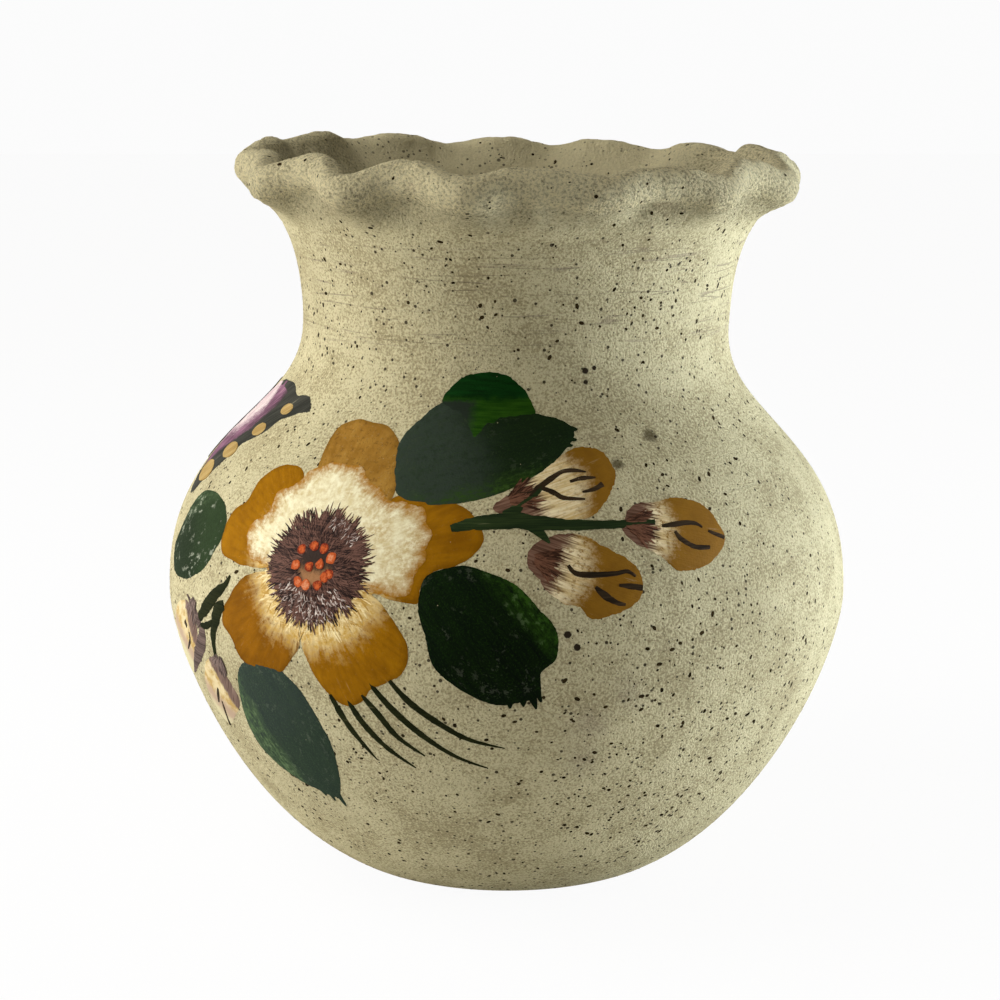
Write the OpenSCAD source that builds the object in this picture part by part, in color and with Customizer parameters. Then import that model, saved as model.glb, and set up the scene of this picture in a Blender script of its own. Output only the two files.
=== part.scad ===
// Round-bellied earthenware vase with a finger-pinched lip and a painted flower spray.
// The clay is built up from a base, a bowl, a shoulder, a collar and a lip, luted together,
// then coated with pale slip and painted by brush. Each layer is its own solid.
// The axis is Z, the foot stands on z = 0 and the painted front faces -Y.

/* [Body] */
// Diameter of the flat foot that the pot stands on
foot_d = 72; // [60:1:84]
// Largest diameter of the clay, at the belly
belly_d = 159; // [145:1:175]
// Height of the belly above the foot
belly_z = 65; // [58:1:74]
// Thickness of the clay wall
wall = 6; // [4.5:0.5:7.5]
// Thickness of the clay base
base_t = 9; // [7:0.5:12]

/* [Neck] */
// Diameter of the clay at the narrowest part of the neck
neck_d = 98; // [88:1:108]
// Height of the narrowest part of the neck
neck_z = 127; // [120:1:134]
// Diameter of the clay at the seam between the collar and the lip
seam_d = 107; // [102:1:116]
// Height of the seam between the collar and the lip
seam_z = 150; // [146:1:153]
// Slope of the collar where it meets the lip, from level
collar_slope = 61; // [52:1:70]

/* [Pinched lip] */
// Mean diameter of the lip over its rounded edge
lip_d = 127; // [121:1:133]
// Mean height of the top of the lip
lip_z = 165; // [162:1:170]
// Thickness of the lip at its rounded edge
lip_t = 7; // [5:0.5:8]
// Slope of the lip at its edge, from level
lip_slope = 42; // [34:1:52]
// Number of finger pinches round the lip
pinches = 14; // [10:1:18]
// How far each pinch pushes the edge out and draws it in
pinch_depth = 2.2; // [0.5:0.1:3.5]
// How far each pinch lowers and lifts the edge
pinch_rise = 1.4; // [0.3:0.1:2.5]

/* [Luted seams] */
// Height of the ridge on a seam that seats in the next piece
key_h = 1.6; // [1:0.1:2.5]
// Width of that ridge at its foot
key_w = 2.4; // [1.5:0.1:3.2]

/* [Slip coat] */
// Thickness of the slip
slip_t = 0.5; // [0.3:0.1:1]
// Height at which the slip ends above the bare foot
slip_foot_z = 3; // [1.5:0.5:6]
// Height down to which the slip lines the inside of the neck
slip_inside_z = 118; // [105:1:124]

/* [Painted flower] */
// Thickness of one layer of paint
paint_t = 0.3; // [0.2:0.05:0.5]
// Azimuth of the flower's centre, from the front towards +X
flower_az = -31; // [-40:1:-20]
// Height of the flower's centre
flower_z = 84; // [78:1:90]
// Length of the longest petals, from the flower's centre; the spray is laid out in this length
petal_len = 35; // [30:1:37]
// Width of the broadest petals
petal_w = 27; // [22:1:30]
// Diameter of the flower's dark eye
eye_d = 25; // [20:1:28]
// Diameter of one stamen dot
dot_d = 2.4; // [1.6:0.2:3]
// Number of stamen dots in the ring
dots = 8; // [5:1:8]
// Diameter of the ring of stamen dots
dot_ring_d = 9.5; // [8.5:0.5:12]
// Length of the pale highlight on a petal, from the flower's centre
highlight_len = 23; // [18:1:26]
// Width of the pale highlight on a petal
highlight_w = 19; // [14:1:20]

/* [Painted leaves and buds] */
// Length of the longest leaf
leaf_len = 42; // [36:1:46]
// Width of the broadest leaf
leaf_w = 26; // [20:1:30]
// Length of a bud
bud_len = 25; // [20:1:28]
// Width of a bud
bud_w = 16; // [12:1:18]
// Length of the dark calyx at the foot of a bud
calyx_len = 9; // [6:0.5:12]
// Width of a stem at its thickest
stem_w = 3; // [2:0.2:4]
// Width of a grass stroke at its thickest
grass_w = 1.2; // [0.8:0.1:1.8]

/* [Painted butterfly] */
// Azimuth of the butterfly's body
butterfly_az = -92; // [-98:1:-88]
// Height of the butterfly's body
butterfly_z = 101; // [96:1:106]
// Length of the butterfly's body
butterfly_len = 24; // [18:1:28]
// Width of the butterfly's body
butterfly_w = 4; // [3:0.5:6]
// Length of a wing, away from the body
wing_len = 37; // [30:1:42]
// Height of a wing, along the body
wing_h = 33; // [26:1:38]
// Share of a wing that its pale panel covers
panel_share = 0.7; // [0.5:0.05:0.75]
// Length of a spot on the edge of a wing
spot_len = 4.6; // [3:0.2:6]
// Width of a spot on the edge of a wing
spot_w = 2; // [1:0.2:2.6]

/* [Hidden] */
$fn = 96;

CLAY = "#b98a62";
SLIP = "#cfc7a0";
OCHRE = "#b5761b";
CREAM = "#e6dcb4";
UMBER = "#4e3230";
ORANGE = "#cf5527";
LEAF_DARK = "#1b2b20";
LEAF_LIGHT = "#2f5320";
STEM_GREEN = "#27331f";
MAUVE = "#a5708c";
WING_GREY = "#4a4540";

// Steps along each curve of the profile
curve_steps = 14;
// Steps along the lip, round its edge and across each pinch
lip_steps = 4;
edge_steps = 4;
pinch_steps = 8;
// Points round a painted outline, along a brush stroke and along one bend of a wing
outline_steps = 28;
stroke_steps = 9;
wing_steps = 7;
// How far the shapes that cut out the paint reach in and out of the surface
paint_reach = 16;
// Lowest height that the paint may reach
paint_low = 20;
// Azimuth of a lifted crest of the lip
crest_az = 3.5;
// Lengths of the handles that shape the profile's curves
foot_reach = 27;
foot_lift = 10;
belly_drop = 12.7;
belly_climb = 36.7;
neck_drop = 22.7;
neck_climb = 10;
seam_pull = 6;
// Width of a petal or bud at its foot, as a share of its width
petal_foot = 0.5;
bud_foot = 0.8;
// Roundness of a leaf at its foot and at its tip
leaf_foot = 0.45;
leaf_tip = 0.7;
// Gap between a wing and the body, and the number of spots on a wing
wing_gap = 0.4;
wing_spot_count = 4;
// Where the spots lie between the body and the edge of a wing
spot_share = 0.87;

// The profile: curves in the r-z plane, from the foot up to the seam below the lip

function bezier(p, t) =
  (1 - t) ^ 3 * p[0] + 3 * (1 - t) ^ 2 * t * p[1] + 3 * (1 - t) * t ^ 2 * p[2] + t ^ 3 * p[3];
function curve(p, n) = [for (i = [0:n]) bezier(p, i / n)];
function along(angle) = [cos(angle), sin(angle)];
function across(angle) = [sin(angle), -cos(angle)];
function tail(list) = [for (i = [1:len(list) - 1]) list[i]];
function head(list) = [for (i = [0:len(list) - 2]) list[i]];
function reverse(list) = [for (i = [len(list) - 1:-1:0]) list[i]];

foot = [foot_d / 2, 0];
belly = [belly_d / 2, belly_z];
waist = [neck_d / 2, neck_z];
seam = [seam_d / 2, seam_z];

clay_line = concat(
  curve([foot, foot + [foot_reach, foot_lift], belly - [0, belly_drop], belly], curve_steps),
  tail(curve([belly, belly + [0, belly_climb], waist - [0, neck_drop], waist], curve_steps)),
  tail(curve([waist, waist + [0, neck_climb], seam - seam_pull * along(collar_slope), seam], curve_steps))
);

// Unit normal of a line at one of its points, to the right of the way it runs
function normal(line, i) =
  let (d = line[min(i + 1, len(line) - 1)] - line[max(i - 1, 0)])
  [d[1], -d[0]] / norm(d);
function offset_line(line, by) = [for (i = [0:len(line) - 1]) line[i] + by * normal(line, i)];
function radius_at(line, z) = lookup(z, [for (p = line) [p[1], p[0]]]);
function clip_line(line, low, high) = concat(
  [[radius_at(line, low), low]],
  [for (p = line) if (p[1] > low + 0.01 && p[1] < high - 0.01) p],
  [[radius_at(line, high), high]]
);

inner_line = offset_line(clay_line, -wall);
slip_line = offset_line(clay_line, slip_t);
lining_line = offset_line(clay_line, -wall - slip_t);
function paint_line(layer) = offset_line(clay_line, slip_t + layer * paint_t);

// The clay: sections of one wall, each with a ridge on top that seats in the next

// A seam across the wall at height z, from the outside in
function keyed_seam(z) =
  let (out = radius_at(clay_line, z), in = radius_at(inner_line, z), mid = (out + in) / 2)
  [[out, z], [mid + key_w / 2, z], [mid, z + key_h], [mid - key_w / 2, z], [in, z]];
function flat_seam(z) = [[radius_at(clay_line, z), z], [radius_at(inner_line, z), z]];

// The wall between two seams, turned about the axis
module wall_section(bottom, top) {
  low = bottom[0][1];
  high = top[0][1];
  outside = clip_line(clay_line, low, high);
  inside = clip_line(inner_line, low, high);
  rotate_extrude()
    polygon(concat(reverse(tail(bottom)), head(outside), head(top), reverse(tail(inside))));
}

module base_disc() {
  color(CLAY)
    rotate_extrude()
      polygon(concat(
        [[0, 0]],
        head(clip_line(clay_line, 0, base_t)),
        keyed_seam(base_t),
        [[0, base_t]]
      ));
}

module lower_bowl() color(CLAY) wall_section(keyed_seam(base_t), keyed_seam(belly_z));
module shoulder() color(CLAY) wall_section(keyed_seam(belly_z), keyed_seam(neck_z));
module neck_collar() color(CLAY) wall_section(keyed_seam(neck_z), flat_seam(seam_z));

// The pinched lip: a rounded section swept round the rim while the pinches sway it

lip_edge = [lip_d / 2 - lip_t / 2, lip_z - lip_t / 2];
lip_end = lip_edge + lip_t / 2 * across(lip_slope);
lip_pull = norm(lip_end - seam) / 3;
lip_line = curve(
  [seam, seam + lip_pull * along(collar_slope), lip_end - lip_pull * along(lip_slope), lip_end],
  lip_steps
);

// The lip's section grown outwards by a distance, from the outside of the seam over the edge and
// down inside; each item is [point, share of the pinch that the point follows]
function lip_section(by) =
  let (
    n = lip_steps,
    thick = [for (i = [0:n]) wall + (lip_t - wall) * i / n],
    share = [for (i = [0:n]) (i / n) ^ 1.5]
  )
  concat(
    [[[radius_at(offset_line(clay_line, by), seam_z), seam_z], 0]],
    [for (i = [1:n]) [lip_line[i] + by * normal(lip_line, i), share[i]]],
    [for (k = [1:edge_steps - 1])
      [lip_edge + (lip_t / 2 + by) * across(lip_slope + 180 * k / edge_steps), 1]],
    [for (i = [n:-1:1]) [lip_line[i] - (thick[i] + by) * normal(lip_line, i), share[i]]],
    [[[radius_at(offset_line(clay_line, -wall - by), seam_z), seam_z], 0]]
  );

// How far a pinch draws the edge out (1) or in (-1) at an azimuth
function pinch(az) = -cos(pinches * (az - crest_az));
function swayed(item, az) =
  let (p = item[0] + item[1] * pinch(az) * [pinch_depth, -pinch_rise])
  [p[0] * sin(az), -p[0] * cos(az), p[1]];

// A closed loop of section items swept round the rim; from item number turned on, the loop runs
// back along another sweep's skin and its squares are split the other way, to match that skin
module rim_sweep(loop, turned) {
  turns = pinches * pinch_steps;
  n = len(loop);
  points = [for (j = [0:turns - 1], item = loop) swayed(item, 360 * j / turns)];
  faces = [
    for (j = [0:turns - 1], i = [0:n - 1])
      let (
        a = j * n + i,
        b = j * n + (i + 1) % n,
        c = ((j + 1) % turns) * n + (i + 1) % n,
        d = ((j + 1) % turns) * n + i
      )
      each i < turned ? [[a, b, c], [a, c, d]] : [[a, b, d], [b, c, d]]
  ];
  polyhedron(points, faces, convexity = 6);
}

module ruffled_lip() {
  section = lip_section(0);
  color(CLAY) rim_sweep(section, len(section));
}

// The slip: one thin skin outside, over the lip and a little way down inside the neck

module skin(near, far, low, high) {
  rotate_extrude()
    polygon(concat(clip_line(near, low, high), reverse(clip_line(far, low, high))));
}

module body_slip() color(SLIP) skin(slip_line, clay_line, slip_foot_z, seam_z);
module neck_lining() color(SLIP) skin(inner_line, lining_line, slip_inside_z, seam_z);
module lip_slip() {
  outer = lip_section(slip_t);
  color(SLIP) rim_sweep(concat(outer, reverse(lip_section(0))), len(outer));
}

// The paint: outlines in the plane of the surface, X to the right and Y up

function spread(v, power) = sign(v) * abs(v) ^ power;

// A petal or bud along +X from the origin, broader towards its tip
function petal_points(length, width, foot_share) = [
  for (i = [0:outline_steps - 1])
    let (a = 360 * i / outline_steps, x = length * (1 - cos(a)) / 2)
    [x, width / 2 * (foot_share + (1 - foot_share) * x / length) * spread(sin(a), 0.6)]
];

// A leaf along X about its middle, round at the foot and drawn out to a point
leaf_peak = leaf_foot / (leaf_foot + leaf_tip);
function leaf_half(t) = (t / leaf_peak) ^ leaf_foot * ((1 - t) / (1 - leaf_peak)) ^ leaf_tip / 2;
function leaf_points(length, width) =
  let (n = outline_steps / 2)
  [for (i = [0:2 * n - 1])
    let (t = (1 - cos(180 * i / n)) / 2, side = i < n ? 1 : -1)
    [length * (t - 0.5), side * width * leaf_half(t)]
  ];

// A brush stroke on a bend of three points, blunt where the brush lands and fine where it lifts
function bend(p, t) = (1 - t) ^ 2 * p[0] + 2 * (1 - t) * t * p[1] + t ^ 2 * p[2];
function stroke_points(p, width) =
  let (
    line = [for (i = [0:stroke_steps]) bend(p, i / stroke_steps)],
    half = [for (i = [0:stroke_steps]) width / 2 * (1 - 0.92 * (i / stroke_steps) ^ 1.4)]
  )
  concat(
    [for (i = [0:stroke_steps]) line[i] + half[i] * normal(line, i)],
    [for (i = [stroke_steps:-1:0]) line[i] - half[i] * normal(line, i)]
  );

// A wing towards +X about its middle: fore edge, outer edge, lower edge and back to the body
WING_BENDS = [
  [[0, 0.12], [0.22, 0.38], [0.72, 0.6], [1, 0.45]],
  [[1, 0.45], [1.05, 0.24], [0.67, -0.06], [0.53, -0.27]],
  [[0.53, -0.27], [0.47, -0.45], [0.22, -0.45], [0.11, -0.3]],
  [[0.11, -0.3], [0.05, -0.2], [0, -0.1], [0, 0.12]],
];
function wing_place(p, share) = [wing_len * (share * p[0] - 0.5), wing_h * share * p[1]];
function wing_points(share) =
  [for (b = WING_BENDS, i = [0:wing_steps - 1]) wing_place(bezier(b, i / wing_steps), share)];

// The painted films in the order in which they were painted, so that each is cut by those after it.
// A film is [name, place, colour, kind, sizes]. The place is an azimuth and a height. The sizes are
// an angle, a length and a width, or the bends of brush strokes in the film's own plane
function arc_angle(distance, z) = distance / radius_at(slip_line, z) * 180 / PI;

// A place on the spray, so many petal lengths to the right of the flower's centre and above it
function on_spray(right, up) =
  let (z = flower_z + up * petal_len)
  [flower_az + arc_angle(right * petal_len, z), z];
function spray_bends(bends) = [for (b = bends) petal_len * b];
on_flower = on_spray(0, 0);

function petal(name, angle, length_share, width_share) =
  [name, on_flower, OCHRE, "petal", [angle, petal_len * length_share, petal_w * width_share]];
PETALS = [
  petal("petal_right", 14, 1, 1),
  petal("petal_top", 94, 1, 0.85),
  petal("petal_left", 155, 0.89, 1),
  petal("petal_lower_left", 222, 0.86, 0.96),
  petal("petal_bottom", 296, 0.89, 1),
];
function bud(name, place, angle) = [name, place, OCHRE, "bud", [angle, bud_len, bud_w]];
BUDS = [
  bud("bud_upper", on_spray(1.28, 0.51), 18),
  bud("bud_end", on_spray(2.17, 0.2), -18),
  bud("bud_lower", on_spray(1.63, 0.03), -23),
  bud("bud_left_upper", on_spray(-1.66, -0.69), 238),
  bud("bud_left_lower", on_spray(-1.03, -0.97), 246),
];
function leaf(name, place, angle, length_share, width_share) =
  [name, place, LEAF_DARK, "leaf", [angle, leaf_len * length_share, leaf_w * width_share]];
GREENS = [
  ["leaf_upper_lobe", on_spray(0.81, 0.63), LEAF_LIGHT, "petal", [78, leaf_len * 0.4, leaf_w * 0.92]],
  leaf("leaf_upper", on_spray(0.77, 0.66), 18, 1, 0.81),
  leaf("leaf_lower_right", on_spray(1.15, -0.33), -52, 0.88, 1),
  leaf("leaf_lower_left", on_spray(-0.34, -1.09), -66, 0.9, 0.77),
  leaf("leaf_left", on_spray(-1.46, -0.03), 207, 0.76, 0.69),
  ["grass_strokes", on_spray(0.47, -0.83), STEM_GREEN, "grass", spray_bends([
    [[-0.34, 0.09], [-0.26, -0.11], [-0.1, -0.36]],
    [[-0.24, 0.07], [-0.11, -0.17], [0.13, -0.37]],
    [[-0.14, 0.11], [0, -0.11], [0.2, -0.3]],
    [[-0.09, 0.2], [0.11, -0.17], [0.57, -0.36]],
    [[0.06, 0.23], [0.23, -0.11], [0.7, -0.2]],
  ])],
  ["stem_right", on_spray(1.11, 0.33), STEM_GREEN, "stem", spray_bends([
    [[-0.37, -0.06], [0.17, 0.03], [0.86, -0.06]],
    [[-0.11, -0.03], [0.11, 0.11], [0.3, 0.31]],
    [[-0.11, 0], [0.09, 0], [0.2, -0.14]],
  ])],
  ["stem_left", on_spray(-0.92, -0.49), STEM_GREEN, "stem", spray_bends([
    [[0.2, 0.31], [-0.17, 0.11], [-0.4, -0.37]],
    [[0.17, 0.11], [0, -0.06], [-0.09, -0.31]],
  ])],
];
EYE = ["flower_eye", on_flower, UMBER, "oval", [0, eye_d, eye_d]];
wing_turn = arc_angle(butterfly_w / 2 + wing_gap + wing_len / 2, butterfly_z);
function wing(name, side) =
  [name, [butterfly_az + side * wing_turn, butterfly_z], WING_GREY, "wing", [side, wing_len, wing_h]];
WINGS = [wing("wing_right", 1), wing("wing_left", -1)];
BODY = [
  "butterfly_body", [butterfly_az, butterfly_z], UMBER, "oval", [90, butterfly_len, butterfly_w]
];
FILMS = concat(PETALS, BUDS, GREENS, [EYE], WINGS, [BODY]);

module oval(length, width) scale([1, width / length]) circle(d = length);
module toward(side) mirror([side < 0 ? 1 : 0, 0]) children();

module outline(f) {
  s = f[4];
  if (f[3] == "petal") rotate(s[0]) polygon(petal_points(s[1], s[2], petal_foot));
  if (f[3] == "bud") rotate(s[0]) translate([-s[1] / 2, 0]) polygon(petal_points(s[1], s[2], bud_foot));
  if (f[3] == "leaf") rotate(s[0]) polygon(leaf_points(s[1], s[2]));
  if (f[3] == "oval") rotate(s[0]) oval(s[1], s[2]);
  if (f[3] == "wing") toward(s[0]) polygon(wing_points(1));
  if (f[3] == "stem") for (b = s) polygon(stroke_points(b, stem_w));
  if (f[3] == "grass") for (b = s) polygon(stroke_points(b, grass_w));
}

// The paint on the pot: films that lie on the slip, cut out by outlines that face the surface

// How far the surface at height z leans back from upright
function lean_at(z) = atan((radius_at(slip_line, z - 1) - radius_at(slip_line, z + 1)) / 2);

// Flat children carried to a film's place and made deep enough to cut through the paint
module cut_at(f) {
  az = f[1][0];
  z = f[1][1];
  rotate([0, 0, az])
    translate([0, -radius_at(slip_line, z), z])
      rotate([90 - lean_at(z), 0, 0])
        translate([0, 0, -paint_reach])
          linear_extrude(2 * paint_reach) children();
}

// One layer of paint over the body, kept only inside the children
module paint(layer) {
  intersection() {
    skin(paint_line(layer + 1), paint_line(layer), paint_low, neck_z);
    children();
  }
}

// Films whose outlines may meet: nearer along the surface than they reach together
function reach(f) =
  f[3] == "stem" || f[3] == "grass"
    ? max([for (b = f[4], p = b) norm(p)]) + stem_w
    : max(f[4][1], f[4][2]);
function apart(p, q) =
  norm([(p[0] - q[0]) * PI / 180 * radius_at(slip_line, (p[1] + q[1]) / 2), p[1] - q[1]]);
function near(f, g) = apart(f[1], g[1]) < reach(f) + reach(g);

// What was painted from film number first on, near film f
module painted_later(f, first) {
  for (k = [first:1:len(FILMS) - 1])
    if (near(f, FILMS[k])) cut_at(FILMS[k]) outline(FILMS[k]);
}

module film(i) {
  f = FILMS[i];
  color(f[2])
    paint(0)
      difference() {
        cut_at(f) outline(f);
        painted_later(f, i + 1);
      }
}

// Second layer of paint, on top of the films

module petal_highlights() {
  color(CREAM)
    paint(1)
      difference() {
        cut_at(PETALS[0])
          for (p = PETALS) rotate(p[4][0]) polygon(petal_points(highlight_len, highlight_w, petal_foot));
        painted_later(PETALS[0], len(PETALS));
      }
}

module stamen_dots() {
  color(ORANGE)
    paint(1)
      cut_at(EYE)
        for (k = [0:dots - 1])
          rotate(360 * k / dots) translate([dot_ring_d / 2, 0]) circle(d = dot_d);
}

module bud_calyx(b) {
  difference() {
    cut_at(b)
      intersection() {
        outline(b);
        rotate(b[4][0]) translate([-bud_len / 2, 0]) circle(r = calyx_len);
      }
    painted_later(b, len(PETALS) + len(BUDS));
  }
}
module bud_calyxes() color(UMBER) for (b = BUDS) paint(1) bud_calyx(b);

module wing_panels() {
  color(MAUVE)
    paint(1)
      for (w = WINGS) cut_at(w) toward(w[4][0]) polygon(wing_points(panel_share));
}

module wing_spots() {
  outer_edge = WING_BENDS[1];
  color(OCHRE)
    paint(1)
      for (w = WINGS)
        cut_at(w)
          toward(w[4][0])
            for (k = [0:wing_spot_count - 1]) {
              place = wing_place(bezier(outer_edge, (k + 0.5) / wing_spot_count), spot_share);
              before = wing_place(bezier(outer_edge, k / wing_spot_count), spot_share);
              after = wing_place(bezier(outer_edge, (k + 1) / wing_spot_count), spot_share);
              way = after - before;
              translate(place) rotate(atan2(way[1], way[0])) oval(spot_len, spot_w);
            }
}

base_disc();
lower_bowl();
shoulder();
neck_collar();
ruffled_lip();
body_slip();
neck_lining();
lip_slip();
for (i = [0:len(FILMS) - 1]) film(i);
petal_highlights();
stamen_dots();
bud_calyxes();
wing_panels();
wing_spots();
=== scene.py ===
"""Looks of the hand-painted earthenware vase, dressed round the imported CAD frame."""

import math
import random

import bmesh
import bpy
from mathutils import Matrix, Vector, geometry, noise


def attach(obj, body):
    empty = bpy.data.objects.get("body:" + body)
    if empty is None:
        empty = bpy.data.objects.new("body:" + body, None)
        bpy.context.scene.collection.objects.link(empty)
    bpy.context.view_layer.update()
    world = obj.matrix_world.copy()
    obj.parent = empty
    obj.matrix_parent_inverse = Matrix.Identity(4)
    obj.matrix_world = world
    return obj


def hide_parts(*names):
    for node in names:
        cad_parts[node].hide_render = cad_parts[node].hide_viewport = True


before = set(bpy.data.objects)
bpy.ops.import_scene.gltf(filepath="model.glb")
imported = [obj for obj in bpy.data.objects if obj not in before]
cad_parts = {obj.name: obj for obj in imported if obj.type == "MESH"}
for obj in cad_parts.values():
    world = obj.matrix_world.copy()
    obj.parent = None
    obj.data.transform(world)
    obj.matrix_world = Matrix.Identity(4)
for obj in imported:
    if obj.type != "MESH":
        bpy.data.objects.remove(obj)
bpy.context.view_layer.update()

# One seed for the lumps of the lip, so that they are the same at each run
LUMP_SEED = 1
noise.seed_set(LUMP_SEED)

# Sizes of the pot, in millimetres, as in the part's source

MM = 0.001
FOOT = Vector((36, 0))
BELLY = Vector((79.5, 65))
WAIST = Vector((49, 127))
SEAM = Vector((53.5, 150))
WALL = 6
BASE_T = 9
COLLAR_SLOPE = 61
LIP_R = 63.5
LIP_TOP = 165
LIP_T = 7
LIP_SLOPE = 42
KEY_H = 1.6
KEY_W = 2.4
SLIP_T = 0.5
SLIP_FOOT_Z = 3
SLIP_INSIDE_Z = 118

# Handles that shape the curves of the profile
FOOT_HANDLE = Vector((27, 10))
BELLY_DROP = Vector((0, 12.7))
BELLY_CLIMB = Vector((0, 36.7))
NECK_DROP = Vector((0, 22.7))
NECK_CLIMB = Vector((0, 10))
SEAM_PULL = 6

# Finger pinches round the lip; each list says how much every pinch in turn sways, dents or lifts it
PINCHES = 14
CREST_AZ = 3.5
PINCH_DEPTH = 2.6
PINCH_RISE = 1.7
HOLLOW_DEPTH = 1.7
HOLLOW_LIFT = 2.6
HOLLOW_TWIST = 1.3
HOLLOW_SKEW = 0.45
HOLLOW_POWER = 1.3
PINCH_GROWTH = 1.5
TROUGH_POWER = 1.3
CREST_POWER = 1.8
DENT_IN = 0.8
DENT_UP = 0.5
SWAYS = [0.18, 0.45, 0.75, 0.8, 0.6, 0.75, 0.55, 0.7, 0.6, 0.45, 0.4, 0.55, 1.0, 0.75]
DENTS = [0.1, 0.85, 0.45, 0.7, 0.5, 0.8, 0.4, 0.7, 0.5, 0.8, 0.6, 0.75, 0.9, 0.55]
LIFT = 2.2
LIFTS = [0, 0, 0, 0.25, 0.4, 0, 0, 0.05, 0.45, 0.95, 0.85, 0.1, 0, 0]

# How the hand-built pot strays from a turned one
LEAN = 2.3
LEAN_FROM = 95
LEAN_TO = 133
TILT = 0.012
TILT_FROM = 118
TILT_TO = 160
UNEVEN = 0.3
UNEVEN_SIZE = 48
UNEVEN_RISE = 1.4
EVEN_FOOT = 12
LUMPS = 0.55
LUMP_SIZE = 11
CRUMBS = 0.3
CRUMB_SIZE = 3.2
GRIT = 0.14
GRIT_SIZE = 1.3
CRUMBLY_FROM = 146
CRUMBLY_TO = 155

# Fineness of the turned pieces, gaps below which points are one, and angles from which an edge is sharp
PROFILE_STEPS = (32, 28, 12)
LIP_STEPS = 16
EDGE_STEPS = 12
AROUND = 520
CLAY_AROUND = 128
HIDDEN_STEP = 3
AXIS_R = 0.02
END_GAP = 0.01
MERGE_GAP = 0.001
CORNER_GAP = 1e-5
PAINT_SHARP = 50
CLAY_SHARP = 35

# Layers of paint: the height of each above the slip, and how deep a film sinks into it
PAINT_SINK = 0.15
PAINT_EDGE = 0.3
FIRST_COAT = 0.12
SECOND_COAT = 0.17
THIRD_COAT = 0.22
HAIR_T = 0.07

# Fineness of the films: steps of outlines and grids, and the shares of a step at an edge and by row
OUTLINE_STEP = 0.55
FILM_STEP = 1.8
CREAM_STEP = 0.9
DAB_STEP = 0.45
CLEAR_SHARE = 0.35
ROW_SHARE = 0.87

# How much higher than its coat each kind of mark stands
PETAL_LAP = 0.008
CREAM_RISE = 0.02
CREAM_HAIR_SINK = 0.03
GLINT_RISE = 0.07
EYE_HAIR_RISE = 0.02
DOT_RISE = 0.11
LEAF_RISE = 0.05
TIP_RISE = 0.06
STROKE_RISE = 0.06
STROKE_LAP = 0.004
GRASS_RISE = 0.03
BUD_RISE = 0.02

# How thick the edge of a dabbed film is, as a share of its middle
CREAM_EDGE = 0.85
EYE_EDGE = 0.9
DOT_EDGE = 0.93
SPOT_EDGE = 0.8

# The edge that a brush leaves: how far it wanders and how far it frays on each kind of mark
PETAL_BRUSH = (0.35, 0.12)
CREAM_BRUSH = (1.1, 0.3)
EYE_BRUSH = (0.8, 0.5)
DOT_BRUSH = (0.12, 0.12)
LEAF_BRUSH = (0.3, 0.15)
LOBE_BRUSH = (0.3, 0.2)
BUD_BRUSH = (0.4, 0.3)
WING_BRUSH = (0.3, 0.25)
PANEL_BRUSH = (0.5, 0.35)
SPOT_BRUSH = (0.15, 0.1)
WANDER_SIZE = 4
FRAY_SIZE = 0.7
STROKE_ROUGH = 0.22
STROKE_ROUGH_SIZE = 1.2

# Seeds of the brush's edges and of its hairs, dots and grains
FRAY_SEED = 50
CREAM_SEED = 8
CREAM_HAIR_SEED = 13
LOW_GLINT_SEED = 23
TOP_GLINT_SEED = 24
EYE_SEED = 9
EYE_EDGE_SEED = 5
EYE_MIDDLE_SEED = 15
DOT_SEED = 4
LEAF_SEED = 20
LOBE_SEED = 31
STROKE_SEED = 3
BUD_SEED = 40
CALYX_SEED = 60
WING_SEED = 71
PANEL_SEED = 73
SPOT_SEED = 75
BODY_SEED = 81
GRAIN_SEED = 7


# The profile, as points of radius and height

def bezier(p, t):
    u = 1 - t
    return u ** 3 * p[0] + 3 * u * u * t * p[1] + 3 * u * t * t * p[2] + t ** 3 * p[3]


def curve(p, steps):
    return [bezier(p, i / steps) for i in range(steps + 1)]


def along(degrees):
    return Vector((math.cos(math.radians(degrees)), math.sin(math.radians(degrees))))


def across(degrees):
    return Vector((math.sin(math.radians(degrees)), -math.cos(math.radians(degrees))))


def clay_profile():
    """The outside of the clay from the foot to the seam below the lip."""
    to_belly, to_waist, to_seam = PROFILE_STEPS
    seam_handle = SEAM - SEAM_PULL * along(COLLAR_SLOPE)
    return (
        curve([FOOT, FOOT + FOOT_HANDLE, BELLY - BELLY_DROP, BELLY], to_belly)
        + curve([BELLY, BELLY + BELLY_CLIMB, WAIST - NECK_DROP, WAIST], to_waist)[1:]
        + curve([WAIST, WAIST + NECK_CLIMB, seam_handle, SEAM], to_seam)[1:]
    )


def line_normal(line, i):
    way = line[min(i + 1, len(line) - 1)] - line[max(i - 1, 0)]
    return Vector((way.y, -way.x)).normalized()


def grown(line, by):
    return [p + by * line_normal(line, i) for i, p in enumerate(line)]


def radius_at(line, z):
    for a, b in zip(line, line[1:]):
        if a.y <= z <= b.y:
            return a.x + (b.x - a.x) * (z - a.y) / (b.y - a.y)
    return line[-1].x if z > line[-1].y else line[0].x


def clipped(line, low, high):
    """The stretch of a line between two heights."""
    inside = [p for p in line if low + END_GAP < p.y < high - END_GAP]
    return [Vector((radius_at(line, low), low))] + inside + [Vector((radius_at(line, high), high))]


CLAY_LINE = clay_profile()
INNER_LINE = grown(CLAY_LINE, -WALL)
SLIP_LINE = grown(CLAY_LINE, SLIP_T)
LINING_LINE = grown(CLAY_LINE, -WALL - SLIP_T)


# Sections to be turned: each item is a point, its share of the pinch and its share of the thumb hollow

def plain(points):
    return [(p, 0, 0) for p in points]


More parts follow.
